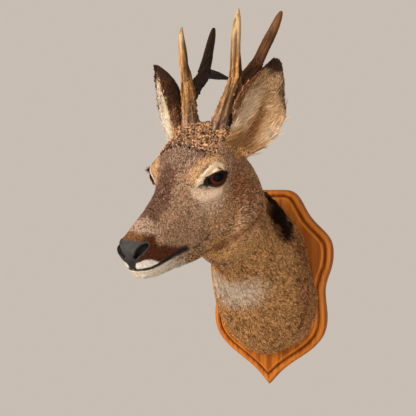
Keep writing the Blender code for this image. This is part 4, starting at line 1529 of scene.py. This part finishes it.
def wood_material(look):
    """Stained oak under a satin varnish, its grain upright."""
    s = Shading("oak")
    warp = s.noise(s.place((1, 1, 0.5)), 14, 2)
    place = s.place((1, 1, 0.045))
    sway = s.node("CombineXYZ", {}, {"X": warp * 0.012})
    bent = s.node("VectorMath", {"operation": "ADD"}, {0: place, 1: sway})
    bands = s.noise(bent, 170, 5, 0.4)
    pores = s.noise(s.place((1, 1, 0.03)), 1500, 3)
    broad = s.noise(s.place((1, 1, 0.2)), 22, 2)
    wood, grain = (*look.wood, 1), (*look.grain, 1)
    tint = s.mix(wood, grain, s.between(bands, 0.44, 0.60))
    tint = s.mix(tint, grain, s.between(broad, 0.48, 0.70) * 0.55)
    tint = s.mix(tint, (*(colour(look.grain) * 0.35), 1), s.between(pores, 0.56, 0.70) * 0.55)
    worn = s.attribute("worn", 2)
    sunk = s.attribute("sunk", 2)
    tint = s.mix(tint, (*np.minimum(colour(look.wood) * 1.5, 1), 1), worn * 0.45)
    tint = s.mix(tint, (*look.groove, 1), sunk * 0.7)
    normal = s.bump(pores * -1 + bands * -0.4, 0.0004, 0.35)
    rough = 0.36 + s.between(pores, 0.5, 0.7) * 0.18
    gloss = {"Specular_IOR_Level": 0.10, "Coat_Weight": 0.06, "Coat_Roughness": 0.25}
    return s.finish(Base_Color=tint, Roughness=rough, Normal=normal, **gloss)


# ------------------------------------------------------------------ eyes
EYE_RINGS = 44
EYE_SIDES = 72
POLE_GAP = 0.004  # radians left open at the ball's two poles
CORNEA_EDGE = (18, 52)  # degrees from the gaze over which the cornea's bulge dies away


def eye_frame(side):
    """The matrix of one eye's own frame: x to the front corner, y up, z along the gaze."""
    axes = [unit(turned(axis * (1, side, 1))) for axis in (EYE_FRONT, EYE_UP, EYE_GAZE)]
    centre = from_head(eye_place(side))
    made = Matrix.Identity(4)
    for k, axis in enumerate(axes):
        made.col[k][:3] = axis
    made.col[3][:3] = centre
    return made


def eyeball(name, side, look):
    """A ball with the cornea's bulge in front, in the eye's own frame."""
    polar = np.linspace(POLE_GAP, math.pi - POLE_GAP, EYE_RINGS)
    round_it = np.arange(EYE_SIDES) * math.tau / EYE_SIDES
    radius = look.radius + look.bulge * (1 - rise(np.degrees(polar), *CORNEA_EDGE))
    p, t = np.meshgrid(polar, round_it, indexing="ij")
    r = radius[:, None]
    points = np.stack([r * np.sin(p) * np.cos(t), r * np.sin(p) * np.sin(t), r * np.cos(p)], -1)
    faces = grid_faces(EYE_RINGS, EYE_SIDES, True)
    made = add_object(name, mesh_from(name, points.reshape(-1, 3), faces))
    made.matrix_world = eye_frame(side)
    return made


# ------------------------------------------------------------------ antlers
ANTLER_PARTS = ("beam", "front_tine", "rear_branch", "upper_tine", "back_tine")
REAR_PARTS = ("rear_branch", "upper_tine", "back_tine")
REAR_DARK = {"left": 0.76, "right": 0.97}  # how dark the branches behind are: partly their own darker colour, partly painted shade
REAR_SWELL = {"left": 0.0009, "right": 0.0016}  # how much thicker they are than the solids
REAR_LESS = (0.0, 0.45, 0.85)  # share of red, green and blue that they lose
SHADED_WAY = (0.85, 0.5, -0.1)  # faces that point this way get painted shade, as the side away from the light
PEARLS = 150
PEARL_SPAN = (0.0010, 0.0019)  # radius
BURR_HEIGHT = 6  # millimetres above the antler's foot


def antler_nodes(word, parts=ANTLER_PARTS):
    """Names of one antler's solids."""
    return [f"antler_{word}_{part}" for part in parts]


def branch_axes(points, names):
    """The way each point's branch runs, from the nearest solid."""
    best = np.full(len(points), np.inf)
    axes = np.zeros((len(points), 3))
    for name in names:
        corners = points_of(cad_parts[name].data)
        line = np.linalg.svd(corners - corners.mean(0), full_matrices=False)[2][0]
        gap = gap_to(points, (name,), 0.05)
        closer = gap < best
        best[closer] = gap[closer]
        axes[closer] = line
    return axes


def rough_bone(made, word, look, rng):
    """Grooves along each branch, pearls on the lower part, and colours by height and depth, with painted
    shade on the side away from the light and on the branches behind.
    """
    mesh = made.data
    points, normals = points_of(mesh), normals_of(mesh)
    names = antler_nodes(word)
    axes = branch_axes(points, names)
    height = (points[:, 2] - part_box(names[0])[0][2]) / MM
    rows = points - axes * (dot(points, axes) * 0.92)[:, None]
    ridges = noise(rows, 0.0030, 71) + 0.6 * noise(rows, 0.0014, 72)
    worn = rise(height, 88, 140)
    lump = look.groove * ridges * (1 - 0.75 * worn)
    pearls = pearl_lumps(points, pearl_odds(height, normals, word), rng)
    burr = np.exp(-(((height - BURR_HEIGHT) / 4.5) ** 2)) * (0.65 + 0.5 * noise(points, 0.0036, 73))
    lump += look.pearl * pearls * (1 - worn) + look.pearl * burr * 0.9
    if word == "left":
        lump += 0.0013 * (1 - rise(height, 30, 75))
    rear = 1 - rise(gap_to(points, antler_nodes(word, REAR_PARTS), 0.004) / MM, 0.5, 3)
    lump += 0.0006 * worn + REAR_SWELL[word] * rear
    move_points(mesh, points + normals * lump[:, None])
    raised = np.maximum(rise(ridges, -0.9, 0.7), pearls)
    tint = colour(look.base) + (colour(look.middle) - colour(look.base)) * rise(height, 10, 60)[:, None]
    tint += (colour(look.tip) - tint) * (worn * (0.75 + 0.25 * noise(points, 0.02, 74)))[:, None]
    tint += (colour(look.stain) - tint) * ((1 - raised) * (0.9 - 0.75 * worn))[:, None]
    # painted shade on the side of each antler that faces away from the light
    shaded = rise(normals @ SHADED_WAY, 0.0, 0.8) * (1 - 0.7 * worn)
    tint += (colour(look.stain) - tint) * (0.75 * shaded)[:, None]
    tint *= (0.50 + 0.80 * raised)[:, None]
    # the branches behind: darker and less blue, partly their own colour and partly painted shade
    tint *= (1 - REAR_DARK[word] * rear)[:, None] * (1 - rear[:, None] * REAR_LESS)
    store_colour(mesh, "bone_colour", np.clip(tint, 0, 1))
    store_value(mesh, "polish", worn)


def pearl_lumps(points, odds, rng):
    """Round lumps of different sizes at random points, 1 on top of the biggest."""
    pearls = np.zeros(len(points))
    for centre in points[rng.choice(len(points), PEARLS, replace=False, p=odds)]:
        size = rng.uniform(*PEARL_SPAN)
        gap = ((points - centre) ** 2).sum(1)
        pearls = np.maximum(pearls, np.exp(-gap / size ** 2) * (size / PEARL_SPAN[1]))
    return pearls


def pearl_odds(height, normals, word):
    """Where pearls are likely: low down, and most on the side towards the other antler."""
    inner = normals[:, 0] * (-1 if word == "left" else 1)
    odds = (1 - rise(height, 45, 100)) * (0.35 + rise(inner, -0.3, 0.8)) * rise(height, 6, 14)
    return odds / odds.sum()


# ------------------------------------------------------------------ the wall shield
SHIELD_PROFILE = (
    # millimetres in from the outline, millimetres off the wall
    (0.4, 0.0), (0.0, 0.5), (0.0, 6.0), (0.0, 12.2), (0.35, 13.9), (1.3, 15.6), (2.8, 16.9), (4.4, 17.5),
    (6.4, 17.6), (7.8, 17.1), (8.6, 16.0), (9.2, 15.3), (9.9, 15.4), (10.5, 16.6), (11.1, 18.7),
    (11.9, 20.2), (13.0, 20.85), (14.6, 21.0),
)
GROOVE_ROWS = (10, 11, 12)  # the profile's rows that hold dark stain
WORN_ROWS = (5, 6, 7, 15, 16)  # and those whose varnish is rubbed
OUTLINE_POINTS = 360
FRONT_STEPS = (0.75, 0.5, 0.25, 0.02)  # rings that close the front, as shares of the last outline
BACK_STEPS = (0.5, 0.04)  # rings that close the back, each a share of the one before
TIP_ANGLE = 30  # degrees of turn above which a corner of the outline stays sharp
TIP_HALF_ANGLE = 40.5  # degrees, half the angle of the pointed foot


def shield_outline():
    """The solid shield's back edge in x and z, evenly spaced and smooth apart from its corners."""
    corners = points_of(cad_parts["board"].data)
    back = corners[corners[:, 1] > -1e-5][:, (0, 2)]
    back = np.unique(np.round(back, 6), axis=0)
    back = back[np.argsort(np.arctan2(back[:, 1], back[:, 0]))]
    closed = np.concatenate([back, back[:1]])
    steps = np.concatenate([[0], np.cumsum(np.linalg.norm(np.diff(closed, axis=0), axis=1))])
    even = np.linspace(0, steps[-1], OUTLINE_POINTS, endpoint=False)
    ring = np.stack([np.interp(even, steps, closed[:, k]) for k in (0, 1)], 1)
    ahead = np.roll(ring, -4, 0) - ring
    behind = ring - np.roll(ring, 4, 0)
    bend = np.degrees(np.arccos(np.clip(dot(unit(ahead), unit(behind)), -1, 1)))
    hold = rise(bend, TIP_ANGLE, TIP_ANGLE + 12)[:, None]
    for _ in range(10):
        soft = (np.roll(ring, -1, 0) + 2 * ring + np.roll(ring, 1, 0)) / 4
        ring = ring * hold + soft * (1 - hold)
    return ring


def mitred(ring, flat, inset):
    """An inset outline whose points near the pointed foot stop at its corner."""
    corner = ring[:, 1].min() + inset / math.sin(math.radians(TIP_HALF_ANGLE))
    low = ring[:, 1] < ring[:, 1].min() + 0.06
    crossed = low & ((flat[:, 0] * ring[:, 0] <= 0) | (flat[:, 1] < corner))
    flat = flat.copy()
    flat[crossed] = (0, corner)
    return flat


def shield_mesh(name):
    """The moulding swept round the outline, and closed in front and behind."""
    ring = shield_outline()
    ahead = unit(np.roll(ring, -1, 0) - np.roll(ring, 1, 0))
    inward = np.stack([-ahead[:, 1], ahead[:, 0]], 1)
    rows = []
    for inset, height in SHIELD_PROFILE:
        flat = mitred(ring, ring + inward * inset * MM, inset * MM)
        rows.append(np.stack([flat[:, 0], np.full(len(flat), -height * MM), flat[:, 1]], 1))
    rows += [rows[-1] * (shrink, 1, shrink) for shrink in FRONT_STEPS]
    for shrink in BACK_STEPS:
        rows.insert(0, rows[0] * (shrink, 1, shrink))
    mesh = mesh_from(name, np.concatenate(rows), grid_faces(len(rows), len(ring), True)[:, ::-1])
    for word, marked in (("sunk", GROOVE_ROWS), ("worn", WORN_ROWS)):
        share = np.isin(np.arange(len(rows)) - len(BACK_STEPS), marked)
        store_value(mesh, word, np.repeat(share, len(ring)).astype(float))
    return mesh


# ------------------------------------------------------------------ operators
FRINGE_LOCKS = 2900
FRINGE_RADIUS = 0.00040
CURLS = 3800
CURL_TONES = (0.12, 0.60, 1.20, 2.1)
CURL_TONE_SHARES = (0.30, 0.26, 0.30, 0.14)
LASHES = 420
LASH_RADIUS = 0.00020
RIGHT_LASHES = 1.6  # how much longer the right eye's lashes are
FRAYS = 3600
FRAY_RADIUS = 0.00032
FRAY_PALE = np.array((1.0, 0.74, 0.52))


def grown_skin():
    """The finished hide and the values that its hair needs."""
    skin = Skin(bpy.data.objects["hide"].data)
    return skin, coat_fields(skin, settings("hide"))


def angles(rng, mean, spread, count):
    """Random angles about a mean in degrees."""
    return np.radians(rng.normal(mean, spread, count))


class MOUNT_OT_hide(bpy.types.Operator):
    """Build the hide: skin of the neck, head and ears, with lids, nostrils and lips"""

    bl_idname = "mount.hide"
    bl_label = "Hide"

    def execute(self, context):
        look = settings("hide")
        made = grown_hide(look)
        skin = Skin(made.data)
        # the skin under the crown's curls is darkened as painted shade
        tint = markings(skin, look) * (1 - 0.3 * on_crown(skin))[:, None]
        store_colour(made.data, "coat_colour", tint)
        store_value(made.data, "bare", bare(skin))
        store_value(made.data, "pale", rise(tint.mean(1), *PALE_COAT))
        place_piece(made, "coat", hide_material(), *FLESH)
        return {"FINISHED"}


class MOUNT_OT_coat(bpy.types.Operator):
    """Grow the coat on the hide, in tufts that follow its lie"""

    bl_idname = "mount.coat"
    bl_label = "Coat"

    def execute(self, context):
        look = settings("coat")
        skin, fields = grown_skin()
        material = hair_material("coat_hair")
        for k, (name, (count, density)) in enumerate(coat_regions(skin).items()):
            rng = np.random.default_rng(100 + k)
            roots = Roots(skin, fields, density.astype(float), int(count * look.amount), rng)
            long, wide, lift = coat_sizes(roots, look, rng)
            made = tufted(name, roots, long, wide, lift, ticked(roots, rng, look.ticking), rng)
            place_piece(made, "coat", material)
        return {"FINISHED"}


def fringe_density(skin, side):
    """Where long hair grows inside one ear: low down, along both walls and clear of the rims."""
    hollow = rise(skin.across_ear, -0.15, 0.1) * (1 - rise(skin.across_ear, 0.5, 0.8))
    top = 0.6 if side > 0 else 0.4
    density = skin.inside * (skin.side == side) * (1 - rise(skin.up_ear, top, top + 0.25))
    density = density * (1 - 0.75 * hollow) * rise(skin.toward, 0.35, 0.65)
    if side > 0:
        density = density * rise(skin.across_ear - table(skin.up_ear, EAR_FRONT), 0.02, 0.1)
    return density * (1 - 0.9 * rise(skin.across_ear - table(skin.up_ear, EAR_REAR), -0.35, -0.1))


class MOUNT_OT_fringe(bpy.types.Operator):
    """Grow the long hair inside the ears"""

    bl_idname = "mount.fringe"
    bl_label = "Ear Fringe"

    def execute(self, context):
        look = settings("coat")
        skin, fields = grown_skin()
        across = turned(np.array(EAR_ACROSS) * skin.flip)
        along = fields["flow"] * (0.9 - 0.4 * rise(skin.across_ear, 0, 0.5))[:, None]
        fields["flow"] = flat_to(along + 0.6 * across, skin.normals)
        for k, (name, side) in enumerate((("fringe_left", 1), ("fringe_right", -1))):
            rng = np.random.default_rng(200 + k)
            roots = Roots(skin, fields, fringe_density(skin, side), FRINGE_LOCKS, rng)
            long = look.fringe_length * (1 if side > 0 else 0.65) * rng.uniform(0.4, 0.95, roots.count)
            long *= 1 - 0.4 * roots.ear_up
            lift = angles(rng, 24, 8, roots.count)
            bend = angles(rng, 24, 12, roots.count)
            tint = roots.tint * (0.55 + 0.8 * rng.random((roots.count, 1)))
            thick = np.full(roots.count, FRINGE_RADIUS)
            made = locks(name, roots, long, thick, lift, bend, (6, 3), tint, rng, 0.3, 0.6)
            place_piece(made, "coat", bpy.data.materials["coat_hair"])
        return {"FINISHED"}


class MOUNT_OT_curls(bpy.types.Operator):
    """Grow the tight curls round and between the antlers"""

    bl_idname = "mount.curls"
    bl_label = "Crown Curls"

    def execute(self, context):
        skin, fields = grown_skin()
        rng = np.random.default_rng(250)
        thicker_left = 1 + rise(skin.head[:, 1], 10, 30)
        clear_of_lids = rise(skin.fold[:, 2], 27, 33)
        roots = Roots(skin, fields, on_crown(skin) * clear_of_lids * thicker_left, CURLS, rng)
        long = rng.uniform(0.0050, 0.0085, CURLS)
        lift = angles(rng, 60, 16, CURLS)
        bend = angles(rng, 270, 60, CURLS)
        tint = roots.tint * rng.choice(CURL_TONES, (CURLS, 1), p=CURL_TONE_SHARES)
        thick = rng.uniform(0.0008, 0.0013, CURLS)
        made = locks("crown_curls", roots, long, thick, lift, bend, (7, 4), tint, rng, 1.0, 0.15)
        place_piece(made, "coat", bpy.data.materials["coat_hair"])
        return {"FINISHED"}


class MOUNT_OT_lashes(bpy.types.Operator):
    """Grow the dark lashes along both upper lids"""

    bl_idname = "mount.lashes"
    bl_label = "Lashes"

    def execute(self, context):
        skin, fields = grown_skin()
        across, height, distance = eye_angles(skin.eye_fold)
        out = outside_lids(across, height)
        on_rim = (out > 0.5) & (out < 6) & (distance < EYE_REACH) & (height > table(across, UPPER_LID))
        density = on_rim * rise(-across, -40, 20)
        gaze = turned(EYE_GAZE * skin.flip)
        rearward = turned(-EYE_FRONT * skin.flip)
        fields["flow"] = flat_to(gaze + 0.7 * rearward, skin.normals)
        rng = np.random.default_rng(290)
        roots = Roots(skin, fields, density, LASHES, rng)
        long = rng.uniform(0.0030, 0.0062, LASHES)
        lift = angles(rng, 48, 12, LASHES)
        bend = angles(rng, 25, 14, LASHES)
        long *= np.where(roots.places[:, 0] < HEAD_ORIGIN[0] - 0.02, RIGHT_LASHES, 1)
        tint = colour(settings("hide").lip_black) * rng.uniform(0.7, 1.6, (LASHES, 1))
        thick = np.full(LASHES, LASH_RADIUS)
        made = locks("lashes", roots, long, thick, lift, bend, (5, 3), tint, rng, 0.35, 0.8)
        place_piece(made, "coat", bpy.data.materials["coat_hair"])
        return {"FINISHED"}


class MOUNT_OT_frays(bpy.types.Operator):
    """Fray the edge of the hide where it is tacked to the shield"""

    bl_idname = "mount.frays"
    bl_label = "Frayed Edge"

    def execute(self, context):
        skin, fields = grown_skin()
        outward = unit(skin.off_neck * (1, 0, 1))
        fields["flow"] = flat_to(outward + (0, 0.5, -0.2), skin.normals)
        rng = np.random.default_rng(270)
        x, y, z = skin.in_mm.T
        loose = 0.3 + rise(x, 10, 45) * rise(-z, 10, 50) + 0.5 * rise(-z, 60, 90)
        patchy = rise(noise(skin.points, 0.012, 81), -0.3, 0.3)
        density = rise(y, -28, -25) * (1 - skin.on_head) * loose * (0.25 + patchy)
        roots = Roots(skin, fields, density, FRAYS, rng)
        shown = 0.25 + 0.75 * rise(-roots.places[:, 2:] / MM, 25, 50)
        bleached = np.clip(rng.normal(0.55, 0.3, (FRAYS, 1)), 0, 1)
        tint = roots.tint + (FRAY_PALE - roots.tint) * bleached * shown
        long = rng.uniform(0.004, 0.0095, FRAYS)
        lift = angles(rng, 30, 14, FRAYS)
        bend = angles(rng, 30, 40, FRAYS)
        thick = np.full(FRAYS, FRAY_RADIUS)
        made = locks("frayed_edge", roots, long, thick, lift, bend, (5, 3), tint, rng, 0.8, 0.4)
        place_piece(made, "coat", bpy.data.materials["coat_hair"])
        return {"FINISHED"}


class MOUNT_OT_eyes(bpy.types.Operator):
    """Make the glass eyes"""

    bl_idname = "mount.eyes"
    bl_label = "Eyes"

    def execute(self, context):
        look = settings("eyes")
        material = eye_material(look)
        for side, word in ((1, "left"), (-1, "right")):
            made = eyeball(f"glass_eye_{word}", side, look)
            place_piece(made, "glass_eye", material, f"eye_{word}")
        return {"FINISHED"}


class MOUNT_OT_antlers(bpy.types.Operator):
    """Make the antlers, pearled at the foot and polished at the tips"""

    bl_idname = "mount.antlers"
    bl_label = "Antlers"

    def execute(self, context):
        look = settings("antlers")
        material = antler_material()
        for k, word in enumerate(("left", "right")):
            names = antler_nodes(word)
            made = solid_union(f"antler_{word}", names, look.voxel, 5)
            rough_bone(made, word, look, np.random.default_rng(300 + k))
            place_piece(made, "antler", material, *names)
        return {"FINISHED"}


class MOUNT_OT_shield(bpy.types.Operator):
    """Make the moulded wooden wall shield"""

    bl_idname = "mount.shield"
    bl_label = "Wall Shield"

    def execute(self, context):
        look = settings("shield")
        made = add_object("shield", shield_mesh("shield"))
        place_piece(made, "oak_board", wood_material(look), "board")
        return {"FINISHED"}


FLOOR_PLACE = (0, -0.15, -0.62)
FLOOR_RADIUS = 0.85
FLOOR_SIDES = 64
CAMERA_PLACE = (0.369, -1.229, 0.118)
CAMERA_TURN = 21  # degrees from the wall's normal; the camera is level
SENSOR_WIDTH = 36
LIGHT_AIM = (0, -0.18, 0.08)
LIGHTS = {
    # which setting holds its power: place, width, colour
    "key": ((-0.40, -1.66, 0.72), 1.0, (1, 0.975, 0.94)),
    "fill": ((0.85, -1.45, -0.02), 1.2, (1, 0.98, 0.95)),
    "low": ((-1.05, -0.75, -0.05), 0.4, (1, 0.86, 0.70)),
}


def add_light(name, place, size, power, tint):
    """A round soft light aimed at the object."""
    data = bpy.data.lights.new(name, "AREA")
    data.shape = "DISK"
    data.size = size
    data.energy = power
    data.color = tint
    made = bpy.data.objects.new(name, data)
    made.location = place
    made.rotation_euler = (Vector(LIGHT_AIM) - Vector(place)).to_track_quat("-Z", "Y").to_euler()
    bpy.context.scene.collection.objects.link(made)


def light_world(world, look):
    """A pale backdrop that lights the object less than it shines itself, so its hollows stay dark."""
    nodes = Nodes(world)
    background = nodes.tree.nodes["Background"]
    seen = nodes.node("LightPath", output="Is Camera Ray")
    nodes.feed(background.inputs["Color"], (*look.wall, 1))
    strength = nodes.node("MapRange", {}, {"Value": seen, "To Min": look.ambient})
    nodes.feed(background.inputs["Strength"], strength)


def add_camera(scene, look):
    """A level camera that looks at the object from the right."""
    data = bpy.data.cameras.new("camera")
    data.lens = look.lens
    data.sensor_width = SENSOR_WIDTH
    camera = bpy.data.objects.new("camera", data)
    camera.location = CAMERA_PLACE
    camera.rotation_euler = (math.radians(90), 0, math.radians(CAMERA_TURN))
    scene.collection.objects.link(camera)
    scene.camera = camera


def add_floor(look):
    """A round pale floor."""
    turns = np.arange(FLOOR_SIDES) * math.tau / FLOOR_SIDES
    rim = np.stack([np.cos(turns), np.sin(turns), 0 * turns], 1) * FLOOR_RADIUS
    rings = np.concatenate([rim * 0.01, rim]) + FLOOR_PLACE
    faces = grid_faces(2, FLOOR_SIDES, True)[:, ::-1]
    floor = add_object("floor", mesh_from("floor", rings, faces))
    s = Shading("floor")
    mottle = s.noise(s.place(), 30, 3)
    darker = (*(colour(look.floor) * 0.93), 1)
    base = s.mix((*look.floor, 1), darker, s.between(mottle, 0.4, 0.6))
    floor.data.materials.append(s.finish(Base_Color=base, Roughness=0.8))
    return floor


class MOUNT_OT_stage(bpy.types.Operator):
    """Set up the camera, the soft light and the floor"""

    bl_idname = "mount.stage"
    bl_label = "Stage"

    def execute(self, context):
        look = settings("stage")
        scene = context.scene
        add_camera(scene, look)
        scene.view_settings.view_transform = "Standard"
        scene.world = scene.world or bpy.data.worlds.new("world")
        light_world(scene.world, look)
        for name, (place, size, tint) in LIGHTS.items():
            add_light(name, place, size, getattr(look, name + "_power"), tint)
        add_floor(look)
        return {"FINISHED"}


class MOUNT_PT_panel(bpy.types.Panel):
    """The mount's operators and settings"""

    bl_label = "Roe Deer Mount"
    bl_idname = "MOUNT_PT_panel"
    bl_space_type = "VIEW_3D"
    bl_region_type = "UI"
    bl_category = "Mount"

    def draw(self, context):
        for operator in OPERATORS:
            self.layout.operator(operator.bl_idname)
        for word in SETTINGS:
            box = self.layout.box()
            box.label(text=word.title())
            for name in SETTINGS[word].__annotations__:
                box.prop(settings(word), name)


OPERATORS = (
    MOUNT_OT_stage,
    MOUNT_OT_shield,
    MOUNT_OT_eyes,
    MOUNT_OT_antlers,
    MOUNT_OT_hide,
    MOUNT_OT_coat,
    MOUNT_OT_fringe,
    MOUNT_OT_curls,
    MOUNT_OT_lashes,
    MOUNT_OT_frays,
)


def register():
    """Add the settings, operators and panel to Blender."""
    for kind in SETTINGS.values():
        bpy.utils.register_class(kind)
    for word, kind in SETTINGS.items():
        setattr(bpy.types.Scene, "mount_" + word, PointerProperty(type=kind))
    for operator in OPERATORS:
        bpy.utils.register_class(operator)
    bpy.utils.register_class(MOUNT_PT_panel)


def unregister():
    """Take the panel, operators and settings away again."""
    bpy.utils.unregister_class(MOUNT_PT_panel)
    for operator in reversed(OPERATORS):
        bpy.utils.unregister_class(operator)
    for word in SETTINGS:
        delattr(bpy.types.Scene, "mount_" + word)
    for kind in SETTINGS.values():
        bpy.utils.unregister_class(kind)


def main():
    """Build every piece in order."""
    register()
    bpy.ops.mount.stage()
    bpy.ops.mount.shield()
    bpy.ops.mount.eyes()
    bpy.ops.mount.antlers()
    bpy.ops.mount.hide()
    bpy.ops.mount.coat()
    bpy.ops.mount.fringe()
    bpy.ops.mount.curls()
    bpy.ops.mount.lashes()
    bpy.ops.mount.frays()
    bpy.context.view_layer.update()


if __name__ == "__main__":
    main()
